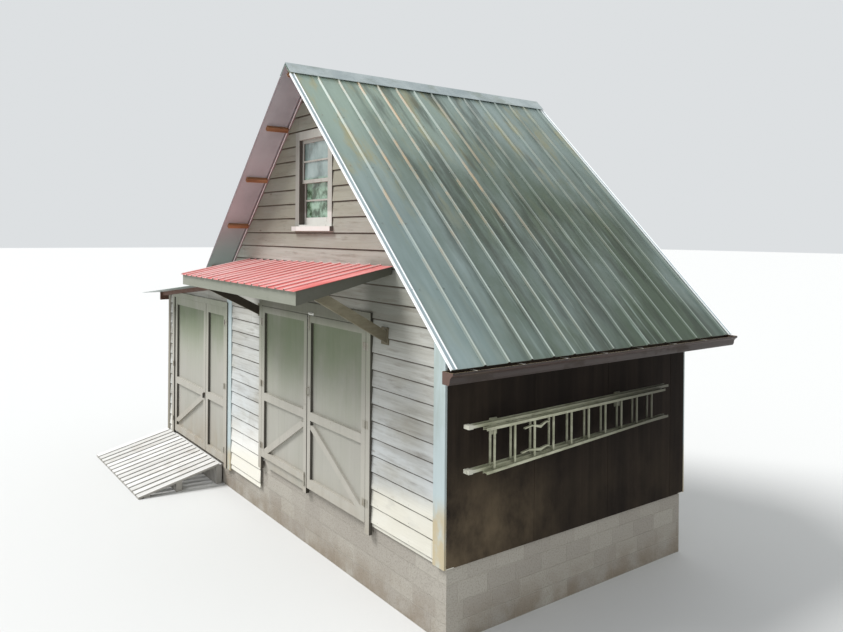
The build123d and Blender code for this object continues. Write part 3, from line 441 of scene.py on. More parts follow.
# %% [markdown]
# ## Timbers, floors and the ramp
# Rafters, purlins and joists are sawn timber, so grain alone is enough for them. Floors and
# the ramp are laid in boards, and their gaps or nail rows are painted at the real pitch. The
# ramp is the palest wood on the barn, because it lies open to rain and sun.

# %% Plain timbers and floor boards
def timber(name, dark, light, stretch, depth=0.001, grime=0.35):
    wood = Finish(name, specular=0.25)
    fibre, figure = wood.fibres(stretch)
    wood.base(figure, dark, light)
    wood.lay(wood.times(fibre, grime), dimmer(dark, 0.6))
    return wood.done(0.85, fibre, depth)


def plank_floor(name, dark, light, across, pitch):
    wood = Finish(name, specular=0.3)
    stretch = (40, 2, 40) if across == "x" else (2, 40, 40)
    fibre, figure = wood.fibres(stretch)
    over, along = (wood.x, wood.y) if across == "x" else (wood.y, wood.x)
    tone, joint, edge = wood.boards(over, along, 0.0, pitch, 2.4, 5.0)
    mixed = wood.plus(wood.times(tone, 0.5), wood.times(figure, 0.5))
    wood.base(mixed, dark, light)
    gap = wood.higher(joint, wood.fall(edge, 0.0, 0.03))
    wood.lay(gap, (30, 24, 18))
    return wood.done(0.8, wood.minus(fibre, gap), 0.001)


# %% Ramp boards
ramp_pitch = 0.185
ramp_start = -5.84


def ramp_wood():
    wood = Finish("ramp_grey_wood", specular=0.25)
    fibre, figure = wood.fibres((45, 2.5, 2.5))
    tone, joint, edge = wood.boards(wood.x, wood.y, ramp_start, ramp_pitch, 9.0, 2.0)
    mixed = wood.plus(wood.times(tone, 0.6), wood.times(figure, 0.4))
    wood.base(mixed, (204, 203, 199), (238, 238, 236))
    wood.lay(fibre, (148, 143, 134), 0.25)
    dirt = wood.blotch((2.5, 2.5, 2.5), 0.52, 0.7)
    wood.lay(dirt, (160, 150, 134), 0.3)
    from_middle = wood.minus(wood.times(edge, ramp_pitch), 0.07)
    from_nails = wood.minus(wood.calc("ABSOLUTE", from_middle), 0.04)
    nail = wood.nails(wood.y, from_nails, 0.6, 0.004)
    wood.lay(nail, (96, 84, 74), 0.8)
    knot = wood.knots((9, 1.6, 1.6), 0.12)
    wood.lay(knot, (110, 92, 72), 0.5)
    # painted shade on the boards' sides, which darkens the gaps between them
    sides = wood.fall(wood.facing_z, 0.3, 0.6, 0.55)
    wood.lay(sides, (112, 104, 92))
    return wood.done(0.88, fibre, 0.0015)


# %% [markdown]
# ## Paint on wood
# The doors and trim carry old matt paint over plywood and boards. Rain draws faint upright
# streaks, splash greys the feet, and the grain shows through where the paint is thin. A
# painted green reflection tints the panels' upper halves. Painted shade from the canopy
# darkens their tops, the door heads and the meeting gap, and painted shade darkens the
# sides that face right.

# %% Old paint
door_meeting = -0.040
door_head = 3.068


def old_paint(name, base, worn, stretch, streak, foot=None, green=0.0, sides=0.4, shade=0.0):
    """Worn paint. Green is a painted green reflection on upper faces, sides the painted shade on
    faces that point right, shade the painted shade of the canopy.
    """
    coat = Finish(name, specular=0.35)
    fibre, figure = coat.fibres(stretch)
    coat.base(coat.times(figure, 0.3), base, worn)
    runs = coat.blotch(streak, 0.5, 0.76)
    coat.lay(runs, dimmer(base, 0.76), 0.18)
    if green:
        # painted green reflection, strongest on the upper faces
        high = coat.ramp(coat.z, 1.5, 2.9, 0.15, 1.0)
        green_reflection = coat.times(coat.blotch((1.2, 1.2, 0.7), 0.25, 0.65), green)
        coat.lay(coat.times(green_reflection, high), (122, 136, 104))
    if shade:
        high = coat.ramp(coat.z, 1.9, 2.8, 0.0, shade)
        coat.lay(high, (84, 97, 64))
        # painted shade under the canopy across the door heads, right of the lean-to
        head_shade = coat.times(coat.ramp(coat.z, 2.95, 3.12, 0.0, 0.55), coat.ramp(coat.x, -2.6, -1.5))
        coat.lay(head_shade, (64, 60, 46))
        # painted shade in the gap where the two main doors meet
        from_meeting = coat.calc("ABSOLUTE", coat.minus(coat.x, door_meeting))
        on_doors = coat.fall(coat.z, door_head - 0.004, door_head - 0.001)
        gap = coat.times(coat.fall(from_meeting, 0.010, 0.014), on_doors)
        coat.lay(gap, (48, 44, 36), 0.8)
    if foot:
        low, high, amount = foot
        fade = coat.fall(coat.z, low, high, amount)
        splash = coat.times(fade, coat.blotch((4, 4, 2.5), 0.25, 0.7))
        coat.lay(splash, (150, 134, 112))
    flake = coat.blotch((9, 9, 5), 0.68, 0.72)
    coat.lay(flake, (120, 106, 88), 0.4)
    # painted shade on the faces that point right
    right_side_shade = coat.ramp(coat.facing_x, 0.5, 0.9, 0.0, sides)
    coat.lay(right_side_shade, (44, 40, 32))
    rough = coat.ramp(fibre, 0.0, 1.0, 0.62, 0.77)
    return coat.done(rough, fibre, 0.0003)


# %% [markdown]
# ## Trim on the window and corners
# The window has a taupe casing, a sill made whiter by a painted highlight, and a whiter
# meeting rail. The corner boards are pale blue-grey, stained tan at their feet, and the
# boards under the verge are dull pink with one pale line of painted highlight. Painted
# shade darkens the trim's sides that face right. Masks on the object's own height and
# width place these changes.

# %% Window trim
def window_paint():
    """Taupe casing with a painted highlight on the sill, whiter meeting rails, and painted shade
    on the faces that point right.
    """
    coat = Finish("window_trim_paint", specular=0.35)
    fibre, figure = coat.fibres((30, 30, 3))
    coat.base(coat.times(figure, 0.5), (172, 171, 163), (150, 147, 138))
    left = coat.fall(coat.x, -0.40, -0.30, 0.45)
    coat.lay(left, (92, 88, 80))
    # painted highlight: the sill below the window is whitened
    sill_highlight = coat.fall(coat.z, 4.225, 4.236, 0.5)
    coat.lay(sill_highlight, (240, 238, 234))
    rail = coat.times(coat.fall(coat.z, 4.40, 4.44), coat.ramp(coat.x, -0.36, -0.33))
    coat.lay(rail, (226, 224, 218), 0.5)
    flake = coat.blotch((9, 9, 5), 0.62, 0.68)
    coat.lay(flake, (126, 118, 104), 0.3)
    # painted shade on the faces that point right, such as the inner jambs
    side = coat.ramp(coat.facing_x, 0.5, 0.9, 0.0, 0.85)
    coat.lay(side, (54, 46, 38))
    return coat.done(0.55, fibre, 0.0003)


# %% Corner boards
def corner_paint():
    """Pale blue-grey on the barn, taupe on the lean-to's outer corner, tan at the feet."""
    coat = Finish("corner_board_paint", specular=0.35)
    fibre, figure = coat.fibres((30, 30, 2))
    coat.base(coat.times(figure, 0.5), (176, 190, 192), (188, 199, 200))
    grey = coat.blotch((5, 5, 1.2), 0.45, 0.7)
    grey = coat.times(grey, coat.ramp(coat.z, 1.2, 2.6, 0.15, 0.7))
    coat.lay(grey, (160, 172, 166))
    taupe = coat.fall(coat.x, -5.2, -5.0)
    coat.lay(taupe, (132, 126, 112))
    over_foot = coat.minus(coat.z, coat.times(coat.x, foot_fall))
    low = coat.fall(over_foot, 0.86, 1.16, 0.9)
    soil = coat.times(low, coat.blotch((7, 7, 4), 0.2, 0.55))
    coat.lay(soil, (186, 170, 136))
    # painted shade on the faces that point right
    corner_side_shade = coat.ramp(coat.facing_x, 0.5, 0.9, 0.0, 0.25)
    coat.lay(corner_side_shade, (60, 64, 60))
    return coat.done(0.6, fibre, 0.0003)


# %% Boards under the verge, and the braces
def rake_strip_paint():
    """Stained board with one pale line where its lower edge catches the light."""
    coat = Finish("rake_strip_paint", specular=0.3)
    fibre, figure = coat.fibres((12, 12, 12))
    coat.base(figure, (120, 96, 98), (148, 126, 126))
    depth_below = above_pan(coat, main_plane, coat.x)
    above = coat.ramp(depth_below, -0.0665, -0.063)
    line = coat.times(above, coat.fall(depth_below, -0.044, -0.040))
    coat.lay(line, (232, 220, 218))
    return coat.done(0.6, fibre, 0.0003)


def brace_paint():
    """Dark boards with painted shade: the left brace's right-facing side is almost black, and the
    right brace darkens near the wall.
    """
    coat = Finish("canopy_brace_paint", specular=0.25)
    fibre, figure = coat.fibres((6, 6, 22))
    coat.base(figure, (122, 116, 96), (140, 134, 114))
    # painted shade on the right-facing side of the left brace
    left = coat.fall(coat.x, -1.0, -0.8, 0.9)
    side_face = coat.ramp(coat.facing_x, 0.5, 0.9)
    coat.lay(coat.times(left, side_face), (38, 30, 26))
    coat.lay(fibre, (72, 64, 52), 0.3)
    # painted shade on the right brace near the wall, under the canopy
    brace_wall_shade = coat.times(
        coat.ramp(coat.y, -0.5, -0.15, 0.0, 0.45), coat.ramp(coat.x, 0.5, 1.0)
    )
    coat.lay(brace_wall_shade, (78, 70, 58))
    return coat.done(0.75, fibre, 0.0006)


# %% [markdown]
# ## Ribbed metal
# The roof is painted steel that has gone grey-green, with a mossy film on the lower half and
# rust along the ribs near the front. Painted light brightens its upper part, painted shade
# darkens the lower half and the rib flanks, and painted highlights light the rib crowns.
# The height above the flat of the sheet tells the ribs from the pans, and the way a face
# looks tells the weathered top from the primer underneath.

# %% Slopes of the three roofs
pitch = radians(44.3)
ridge_height = 6.3205
leanto_pitch = atan2(0.110, 1)
leanto_start = (2.8803, 3.3486)
canopy_pitch = atan2(0.210, 1.0895)
canopy_start = (0.120, 3.777)
canopy_middle = -0.068
canopy_lean = radians(0.7)


def plane_values(angle, run, height):
    level = run * sin(angle) + height * cos(angle)
    return {"sine": sin(angle), "cosine": cos(angle), "level": level}


main_plane = plane_values(pitch, 0, ridge_height)
leanto_plane = plane_values(leanto_pitch, *leanto_start)
canopy_plane = plane_values(canopy_pitch, *canopy_start)


def above_pan(metal, plane, run, height=None):
    """How far a face lies above the flat of its sheet, square to the sheet."""
    return metal.effect(crowns, "Above", run=run, height=height or metal.z, **plane)[0]


print("roof slopes", [round(degrees(a), 2) for a in (pitch, leanto_pitch, canopy_pitch)])


# %% Roof sheets
def roof_metal(name, plane, green=1.0):
    """Sheets of grey-green paint under green film, streaks and rust, with painted light up high,
    painted shade low down and on the rib flanks, and painted highlights on the rib crowns.
    """
    metal = Finish(name, specular=0.5)
    sheen = metal.blotch((0.45, 3.2, 0.45), 0.3, 0.75, 3.0)
    metal.base(sheen, (124, 142, 140), (156, 173, 174))
    # painted light on the upper part of the sheets, strongest at the front
    high = metal.times(metal.ramp(metal.z, 4.2, 5.8), metal.ramp(metal.y, 0.8, 2.6, 1.0, 0.3))
    metal.lay(high, (164, 184, 164), 0.6)
    sandy = metal.blotch((1.1, 4, 1.1), 0.5, 0.68)
    sandy = metal.times(sandy, metal.ramp(metal.z, 3.6, 5.2, 0.1, 0.8))
    metal.lay(sandy, (170, 164, 124))
    # painted shade over the lower half, lightest at the front verge
    inland = metal.ramp(metal.y, -0.2, 0.9, 0.15, 1.0)
    inland = metal.times(inland, metal.ramp(metal.y, 3.3, 4.0, 1.0, 0.35))
    lower = metal.ramp(metal.z, 4.3, 6.1, 1.0, 0.2)
    shaded = metal.times(inland, lower, 0.6 * green)
    metal.lay(shaded, (72, 84, 70))
    moss = metal.times(metal.blotch((0.5, 1.0, 0.5), 0.34, 0.60, 7.0), inland, lower)
    metal.lay(moss, (74, 88, 66), 0.80 * green)
    # darker mottled patches low down: partly moss, partly painted shade
    deep = metal.times(metal.ramp(metal.z, 3.0, 4.6, 1.0, 0.2), metal.ramp(metal.y, 1.0, 2.4))
    deep = metal.times(deep, metal.blotch((0.9, 1.4, 0.9), 0.24, 0.5, 8.0))
    metal.lay(deep, (60, 74, 58), 0.6)
    streak = metal.times(metal.blotch((0.7, 5, 0.7), 0.46, 0.64, 8.0), inland)
    metal.lay(streak, (50, 58, 48), 0.66)
    bright = metal.blotch((0.8, 14, 0.8), 0.58, 0.72)
    bright = metal.times(bright, metal.ramp(metal.y, 0.2, 1.2, 0.2, 0.5))
    metal.lay(bright, (150, 166, 158))
    over = above_pan(metal, plane, metal.x)
    crown = metal.ramp(over, -0.0045, -0.0015)
    # painted shade on the rib flanks, which also carry the rust below
    flank = metal.ramp(over, -0.0190, -0.0165)
    metal.lay(flank, (84, 98, 86), 0.22)
    # painted highlights on the rib crowns, strongest high up and near the front
    crown_highlight = metal.ramp(metal.z, 3.6, 5.2, 0.78, 0.3)
    crown_highlight = metal.times(crown_highlight, metal.ramp(metal.y, 0.4, 2.4, 1.0, 0.45))
    metal.lay(metal.times(crown, crown_highlight), (192, 204, 196))
    rust = metal.times(metal.blotch((1.6, 3, 1.6), 0.45, 0.62), flank)
    near_front = metal.ramp(metal.y, 0.9, 2.2, 1.0, 0.15)
    rust = metal.times(rust, metal.ramp(metal.z, 3.4, 5.0, 0.1, 1.0), near_front)
    metal.lay(rust, (170, 138, 92), 0.8)
    speck = metal.blotch((26, 26, 26), 0.66, 0.72)
    metal.lay(speck, (84, 92, 74), 0.4)
    under = metal.fall(metal.facing_z, -0.2, 0.0)
    near_eave = metal.fall(metal.z, 3.6, 4.6)
    soft = metal.blotch((1.2, 1.2, 1.2), 0.3, 0.7)
    primer = metal.between(soft, (164, 164, 168), (184, 184, 188))
    primer = metal.coated(primer, near_eave, (146, 156, 152))
    metal.colour = metal.blend(under, metal.colour, primer)
    rough = metal.plus(metal.times(moss, 0.25), 0.4)
    return metal.done(rough, metal.plus(streak, rust), 0.0005)


# %% [markdown]
# ## Faded canopy and metal trim
# Sun has chalked the red canopy to pink, most of all on its left. Painted highlights
# make its rib crowns near white, and painted shadow darkens the foot of each rib.
# The verge trim is two pale beads with rust at its screws. Gutter, ridge cap and hardware
# share one function for plain sheet metal, since only their tints and their wear differ.

# %% Canopy sheet
def canopy_metal():
    metal = Finish("canopy_red", specular=0.45)
    fade = metal.blotch((5, 0.9, 0.9), 0.3, 0.72)
    metal.base(fade, (202, 92, 88), (224, 122, 118))
    lean = metal.times(metal.minus(metal.x, canopy_middle), tan(canopy_lean))
    level = metal.minus(metal.z, lean)
    over = above_pan(metal, canopy_plane, metal.y, level)
    # painted highlight on the rib crowns
    rib_highlight = metal.ramp(over, -0.015, -0.003)
    metal.lay(rib_highlight, (252, 222, 218), 0.8)
    chalk = metal.blotch((24, 1.3, 1.3), 0.44, 0.64)
    left = metal.ramp(metal.x, -1.4, 0.6, 0.8, 0.4)
    metal.lay(metal.times(chalk, left), (250, 216, 214))
    # painted shadow at the foot of each rib
    foot = metal.times(metal.ramp(over, -0.0178, -0.0150), metal.fall(over, -0.012, -0.008))
    metal.lay(foot, (150, 48, 44), 0.5)
    grime = metal.blotch((6, 6, 6), 0.62, 0.74)
    metal.lay(grime, (150, 112, 96), 0.35)
    under = metal.fall(metal.facing_z, -0.2, 0.0)
    metal.lay(under, (132, 136, 124))
    return metal.done(0.42, chalk, 0.0004)


# %% Verge trim and plain sheet metal
def trim_metal():
    metal = Finish("verge_trim_pale", specular=0.5)
    soft = metal.blotch((1.5, 1.5, 1.5), 0.3, 0.7)
    metal.base(soft, (150, 166, 172), (178, 192, 194))
    over = above_pan(metal, main_plane, metal.x)
    bead = metal.ramp(over, -0.0145, -0.0125)
    face = metal.fall(metal.facing_y, -0.9, -0.5)
    metal.lay(metal.higher(bead, face), (250, 252, 252))
    # painted shade on the front faces of the trim left of the ridge, near the front
    left = metal.times(metal.fall(metal.x, -0.16, -0.06), metal.fall(metal.y, 1.0, 1.2))
    metal.lay(metal.times(left, face), (118, 100, 104))
    rust = metal.blotch((6, 6, 6), 0.66, 0.72)
    metal.lay(rust, (170, 150, 126), 0.4)
    return metal.done(0.4, soft, 0.0003)


def sheet_metal(name, dark, light, dust, metallic=0.0, roughness=0.45, sides=0.0, silt=False):
    metal = Finish(name, metallic=metallic, specular=0.5)
    cloud = metal.blotch((2, 2, 2), 0.3, 0.7)
    metal.base(cloud, dark, light)
    dusty = metal.blotch((5, 3, 5), 0.5, 0.68)
    metal.lay(dusty, dust, 0.45)
    speck = metal.blotch((40, 40, 40), 0.62, 0.7)
    metal.lay(speck, dimmer(dark, 0.6), 0.25)
    if silt:
        on_lip = metal.blotch((8, 5, 8), 0.2, 0.42)
        on_lip = metal.times(metal.ramp(metal.facing_z, 0.5, 0.9), on_lip)
        metal.lay(on_lip, (188, 170, 130))
    # painted shade on the faces that point right
    if sides:
        away = metal.ramp(metal.facing_x, 0.3, 0.8, 0.0, sides)
        metal.lay(away, dimmer(dark, 0.35))
    rough = metal.ramp(dusty, 0.0, 1.0, roughness, roughness + 0.25)
    return metal.done(rough, speck, 0.0003)


# %% Ladder
def ladder_metal():
    """Dull weathered rails, whitish at the front end, with painted shade towards the rear and on
    faces that point down.
    """
    metal = Finish("ladder_weathered", metallic=0.0, specular=0.45)
    cloud = metal.blotch((6, 3, 6), 0.3, 0.7)
    metal.base(cloud, (158, 160, 132), (194, 194, 170))
    tip_end = metal.fall(metal.y, 0.05, 0.2, 0.7)
    metal.lay(tip_end, (212, 210, 198))
    # painted shade towards the rear
    rear = metal.ramp(metal.y, 0.7, 3.1, 0.0, 0.9)
    metal.lay(rear, (60, 58, 46))
    # painted shade on faces that point down
    low = metal.fall(metal.facing_z, -0.4, 0.1, 0.5)
    metal.lay(low, (70, 66, 54))
    grime = metal.blotch((14, 5, 14), 0.5, 0.7)
    metal.lay(grime, (92, 88, 70), 0.45)
    return metal.done(0.5, grime, 0.0003)


# %% [markdown]
# ## Block, dark board and glass
# The foundation is laid in blocks, and the right wall is dark plywood with dust near its
# foot, its tone deepened as painted shade from the eave. The small panes are glass with a
# grey gleam above and a green one below, which noise makes simply, since the studio has
# nothing around it to reflect.

# %% Foundation blocks
block_length, block_height = 0.40, 0.20


def block_wall():
    stone = Finish("foundation_block", specular=0.2)
    along = stone.plus(stone.x, stone.y)
    tone, joint, edge = stone.boards(stone.z, along, 0.0, block_height, block_length, 8.0)
    pores = stone.blotch((60, 60, 60), 0.45, 0.7)
    stone.base(tone, (158, 152, 143), (172, 167, 157))
    stone.lay(pores, (104, 98, 90), 0.4)
    low = stone.fall(stone.z, 0.0, 0.5, 0.6)
    soil = stone.times(low, stone.blotch((2.5, 2.5, 2.5), 0.3, 0.65))
    stone.lay(soil, (120, 104, 84))
    bed = stone.fall(edge, 0.03, 0.05)
    mortar = stone.higher(bed, joint)
    stone.lay(mortar, (176, 170, 158), 0.7)
    height = stone.minus(stone.times(pores, 0.3), mortar)
    return stone.done(0.92, height, 0.004)


# %% Dark plywood
def dark_plywood():
    wood = Finish("dark_plywood", specular=0.12)
    fibre, figure = wood.fibres((26, 26, 1.4))
    # dark stained plywood, made darker still as painted shade from the eave
    wood.base(figure, (30, 25, 22), (42, 35, 30))
    wood.lay(fibre, (18, 15, 14), 0.35)
    near_front = wood.ramp(wood.y, 0.2, 1.9, 0.8, 0.12)
    near_foot = wood.ramp(wood.z, 1.0, 2.0, 0.95, 0.1)
    dust = wood.times(near_front, near_foot)
    dust = wood.times(dust, wood.blotch((2.2, 2.2, 1.6), 0.22, 0.72))
    wood.lay(dust, (112, 98, 78))
    return wood.done(0.88, fibre, 0.0005)


# %% Window glass
sash_meeting = 4.84


def window_glass():
    glass = Finish("window_pane", specular=0.9)
    # painted reflections: grey in the upper sash, green in the lower
    upper_gleam = glass.blotch((2.5, 2.5, 1.6), 0.34, 0.66)
    upper = glass.between(upper_gleam, (96, 112, 108), (158, 176, 172))
    lower_gleam = glass.blotch((7, 7, 7), 0.38, 0.62)
    lower = glass.between(lower_gleam, (60, 80, 54), (150, 180, 158))
    upper_sash = glass.ramp(glass.z, sash_meeting, sash_meeting + 0.06)
    glass.colour = glass.blend(upper_sash, lower, upper)
    glass.shader.inputs["Transmission Weight"].default_value = 0.1
    return glass.done(0.08)


# %% [markdown]
# ## One finish for each slot
# The record names a material slot for every solid. Each slot gets one finish here. Some
# solids share a slot and still look different: the door panels are a shade greener than
# their frames, with more painted reflection and painted shade, and the lean-to's roof, the
# canopy's boards, the ridge cap and the hasp have their own wear, with more painted shade
# on the roof and the boards. They get a special finish by their name.

# %% Dress the CAD solids
door_feet = (0.4, 1.25, 0.5)
finishes = {
    "siding": lap_siding(),
    "dark_siding": dark_plywood(),
    "roof_metal": roof_metal("roof_grey_green", main_plane),
    "roof_trim": trim_metal(),
    "canopy_metal": canopy_metal(),
    "gutter_metal": sheet_metal(
        "gutter_brown", (84, 60, 50), (102, 76, 66), (112, 100, 80), sides=0.85, silt=True
    ),
    # pale hangers, brightened further to near white as a painted glint
    "hanger_metal": sheet_metal(
        "hanger_white_glint", (236, 236, 230), (250, 250, 246), (206, 200, 184)
    ),
    "foundation": block_wall(),
    "corner_trim": corner_paint(),
    "rake_strip": rake_strip_paint(),
    "purlin_wood": timber("purlin_stained", (128, 84, 58), (176, 132, 96), (40, 3, 40)),
    "rafter_wood": timber("rafter_sawn", (124, 100, 74), (164, 138, 106), (8, 30, 8)),
    "floor_boards": plank_floor("floor_planks", (126, 104, 78), (160, 136, 106), "y", 0.14),
    "brown_trim": old_paint(
        "brown_trim_paint", (104, 74, 62), (124, 94, 80), (6, 6, 6), (8, 8, 2)
    ),
    "door_paint": old_paint(
        "door_frame_paint",
        (171, 167, 158),
        (184, 180, 171),
        (30, 30, 2),
        (16, 16, 0.9),
        door_feet,
        green=0.35,
        sides=0.85,
        shade=0.22,
    ),
    "window_paint": window_paint(),
    "window_glass": window_glass(),
    "ramp_wood": ramp_wood(),
    "ladder_wood": ladder_metal(),
    "hardware": sheet_metal(
        "door_hardware", (150, 146, 134), (168, 164, 152), (122, 106, 88), 0.2, 0.5
    ),
}
door_panel = old_paint(
    "door_panel_paint",
    (166, 163, 155),
    (176, 173, 166),
    (20, 20, 0.9),
    (12, 12, 0.7),
    door_feet,
    green=0.75,
    sides=0.85,
    shade=0.55,
)
special = {
    "leanto_roof_sheet": roof_metal("leanto_roof_grey", leanto_plane, 1.2),
    "canopy_braces": brace_paint(),
    "canopy_fascias": old_paint(
        "canopy_fascia_paint",
        (132, 134, 121),
        (146, 147, 136),
        (2, 24, 24),
        (10, 10, 2),
        sides=0.68,
    ),
    "ridge_cap": sheet_metal(
        "ridge_cap_metal", (150, 162, 164), (180, 190, 190), (128, 136, 120)
    ),
    "leanto_door_hasp": sheet_metal("hasp_dark", (58, 54, 48), (84, 78, 70), (110, 84, 62), 0.3),
}
for name in nodes:
    if name.endswith("_panel"):
        special[name] = door_panel
slot_of = {part["node"]: part["material_slot"] for part in frame["record"]["subparts"]}
for name, solid in nodes.items():
    chosen = special.get(name, finishes[slot_of[name]])
    for material_slot in solid.material_slots:
        material_slot.material = chosen
print("finished", len(nodes), "solids in", len(finishes), "slots", len(special), "special")


# %% [markdown]
# ## Modelling helpers
# New pieces are modelled as by hand: a block is added at its size and place, faces or
# corners are picked by where they are, and edit mode moves, bevels or cuts them.

# %% Helpers for modelling
def block(name, low, high):
    """A block between two corners, with its place in its mesh."""
    bpy.ops.object.select_all(action="DESELECT")
    low, high = Vector(low), Vector(high)
    bpy.ops.mesh.primitive_cube_add(size=1, location=(low + high) / 2, scale=high - low)
    piece = bpy.context.object
    piece.name = name
    piece.data.name = name
    bpy.ops.object.transform_apply(location=True, rotation=True, scale=True)
    return piece


def only(piece):
    bpy.ops.object.select_all(action="DESELECT")
    piece.select_set(True)
    bpy.context.view_layer.objects.active = piece


def edit_corners(piece, wanted):
    """Opens edit mode with the corners that wanted(place) picks."""
    only(piece)
    for part in (*piece.data.edges, *piece.data.polygons):
        part.select = False
    for corner in piece.data.vertices:
        corner.select = wanted(corner.co)
    bpy.ops.object.mode_set(mode="EDIT")
    bpy.ops.mesh.select_mode(type="VERT")


def leave():
    bpy.ops.object.mode_set(mode="OBJECT")


def apply_modifier(piece, kind, **settings):
    only(piece)
    modifier = piece.modifiers.new(kind.lower(), kind)
    for name, value in settings.items():
        setattr(modifier, name, value)
    bpy.ops.object.modifier_apply(modifier=modifier.name)


def repeat(piece, count, offset):
    """Copies the piece along a line, every copy as real mesh."""
    settings = {"count": count, "use_relative_offset": False, "use_constant_offset": True}
    apply_modifier(piece, "ARRAY", constant_offset_displace=offset, **settings)


def slice_off(piece, point, normal):
    """Cuts away what lies beyond a plane and closes the cut."""
    edit_corners(piece, lambda at: True)
    bpy.ops.mesh.bisect(plane_co=point, plane_no=normal, use_fill=True, clear_outer=True)
    leave()


def cut_out(piece, low, high):
    cutter = block("cutter", low, high)
    apply_modifier(piece, "BOOLEAN", operation="DIFFERENCE", solver="EXACT", object=cutter)
    bpy.data.objects.remove(cutter, do_unlink=True)


def join(pieces, name):
    only(pieces[0])
    for piece in pieces[1:]:
        piece.select_set(True)
    if len(pieces) > 1:
        bpy.ops.object.join()
    pieces[0].name = name
    pieces[0].data.name = name
    return pieces[0]


def finish_piece(piece, slot, body="barn", material=None):
    piece.data.materials.clear()
    piece.data.materials.append(material or finishes[slot])
    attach(piece, body)
    print(piece.name, len(piece.data.polygons), "faces on", body)


# %% [markdown]
# ## Lap siding
# Each board is thick at its lower edge and thin at the top, where the next one laps it. One
# board is shaped from a block, copied up the wall with an Array modifier, and the whole
# stack is then cut to the roof line, the corner boards, the doors and the window.

# %% Model one wall of boards
face_depth = 0.020
thin_edge = 0.005
board_gap = 0.0015
front_face = -0.120
rear_outside = 3.860
half_width = 2.88
edge_board = 0.190
leanto_left = -5.89
leanto_edge = 0.110
strip_drop = 0.0750
rake_drop = 0.0999
side_drop = 0.0250


def stack_of_boards(name, wide, deep, axis, outward, rows):
    """Boards along axis, from x to x and from y to y, their faces turned to outward."""
    top = siding_start + siding_pitch - board_gap
    board = block(name, (wide[0], deep[0], siding_start), (wide[1], deep[1], top))
    across = 1 if axis == "x" else 0
    face = (wide, deep)[across][outward > 0]
    edit_corners(board, lambda at: abs(at[across] - face) < 1e-4 and at.z > top - 1e-4)
    shift = [0, 0, 0]
    shift[across] = -outward * (face_depth - thin_edge)
    bpy.ops.transform.translate(value=shift)
    leave()
    edit_corners(board, lambda at: abs(at[across] - face) < 1e-4 and at.z < siding_start + 1e-4)
    bpy.ops.mesh.bevel(offset=0.003, segments=2, affect="EDGES")
    leave()
    repeat(board, rows, (0, 0, siding_pitch))
    return board


def under_plane(piece, plane, drop, side):
    """Cuts a stack to the roof that falls to that side."""
    point = (0, 0, (plane["level"] - drop) / plane["cosine"])
    slice_off(piece, point, (side * plane["sine"], 0, plane["cosine"]))


# %% Front and rear of the barn
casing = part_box("door_casings")
window_low, window_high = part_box("window_frames")
print("window frames from", tuple(window_low), "to", tuple(window_high))
front_skin = (front_face, front_face + face_depth)
rear_skin = (rear_outside - face_depth, rear_outside)
barn_wide = (edge_board - half_width, half_width - edge_board)
barn_rows = 31
window_opening = (-0.458, -1, 4.2295), (0.548, 5, 5.4985)
sill_opening = (-0.483, -1, 4.1705), (0.573, 5, 4.2300)
door_opening = (-1.567, -1, 0), (1.507, 1, 3.2325)
right_foot = siding_start + 3 * siding_pitch - board_gap
front_foot, rear_foot = 0.36, 0.80
front = stack_of_boards("siding_front", barn_wide, front_skin, "x", -1, barn_rows)
rear = stack_of_boards("siding_rear", barn_wide, rear_skin, "x", 1, barn_rows)
for wall in (front, rear):
    under_plane(wall, main_plane, strip_drop, 1)
    under_plane(wall, main_plane, strip_drop, -1)
    cut_out(wall, *window_opening)
    cut_out(wall, *sill_opening)
cut_out(front, *door_opening)
cut_out(front, (1.4, -1, 0), (3, 1, right_foot))
slice_off(front, (0, 0, front_foot), (0, 0, -1))
slice_off(rear, (0, 0, rear_foot), (0, 0, -1))
finish_piece(front, "siding")
finish_piece(rear, "siding")

# %% Lean-to walls
leanto_wide = (leanto_left + leanto_edge, -half_width - 0.0003)
side_skin = (leanto_left, leanto_left + face_depth)
leanto_rows = 15
leanto_foot = 0.33
leanto_opening = (-5.572, -1, 0), (-2.83, 1, 3.0096)
leanto_front = stack_of_boards(
    "siding_leanto_front", leanto_wide, front_skin, "x", -1, leanto_rows
)
leanto_rear = stack_of_boards("siding_leanto_rear", leanto_wide, rear_skin, "x", 1, leanto_rows)
leanto_side = stack_of_boards(
    "siding_leanto_side", side_skin, (front_skin[1], rear_skin[0]), "y", -1, leanto_rows
)
for wall in (leanto_front, leanto_rear, leanto_side):
    slice_off(wall, (0, 0, leanto_foot), (0, 0, -1))
for wall in (leanto_front, leanto_rear):
    under_plane(wall, leanto_plane, rake_drop, -1)
under_plane(leanto_side, leanto_plane, side_drop, -1)
cut_out(leanto_front, *leanto_opening)
for wall in (leanto_front, leanto_rear, leanto_side):
    finish_piece(wall, "siding")

# %% [markdown]
# ## Dark plywood on the right wall
# The right wall under the eave is faced with plywood sheets, 1.22 m wide, with a narrow gap
# where they meet. One sheet is bevelled and copied along the wall, and the last is cut.

# %% Plywood sheets
sheet_width, sheet_depth, sheet_gap = 1.22, 0.004, 0.004
sheet_foot, sheet_head = 0.79, 3.212
first_edge, last_edge = -0.099, 3.839
plywood = block(
    "plywood_right",
    (half_width, first_edge, sheet_foot),
    (half_width + sheet_depth, first_edge + sheet_width - sheet_gap, sheet_head),
)
edit_corners(plywood, lambda at: at.x > half_width + sheet_depth / 2)
bpy.ops.mesh.bevel(offset=0.0015, segments=1, affect="EDGES")
leave()
repeat(plywood, 4, (0, sheet_width, 0))
slice_off(plywood, (0, last_edge, 0), (0, 1, 0))
finish_piece(plywood, "dark_siding")

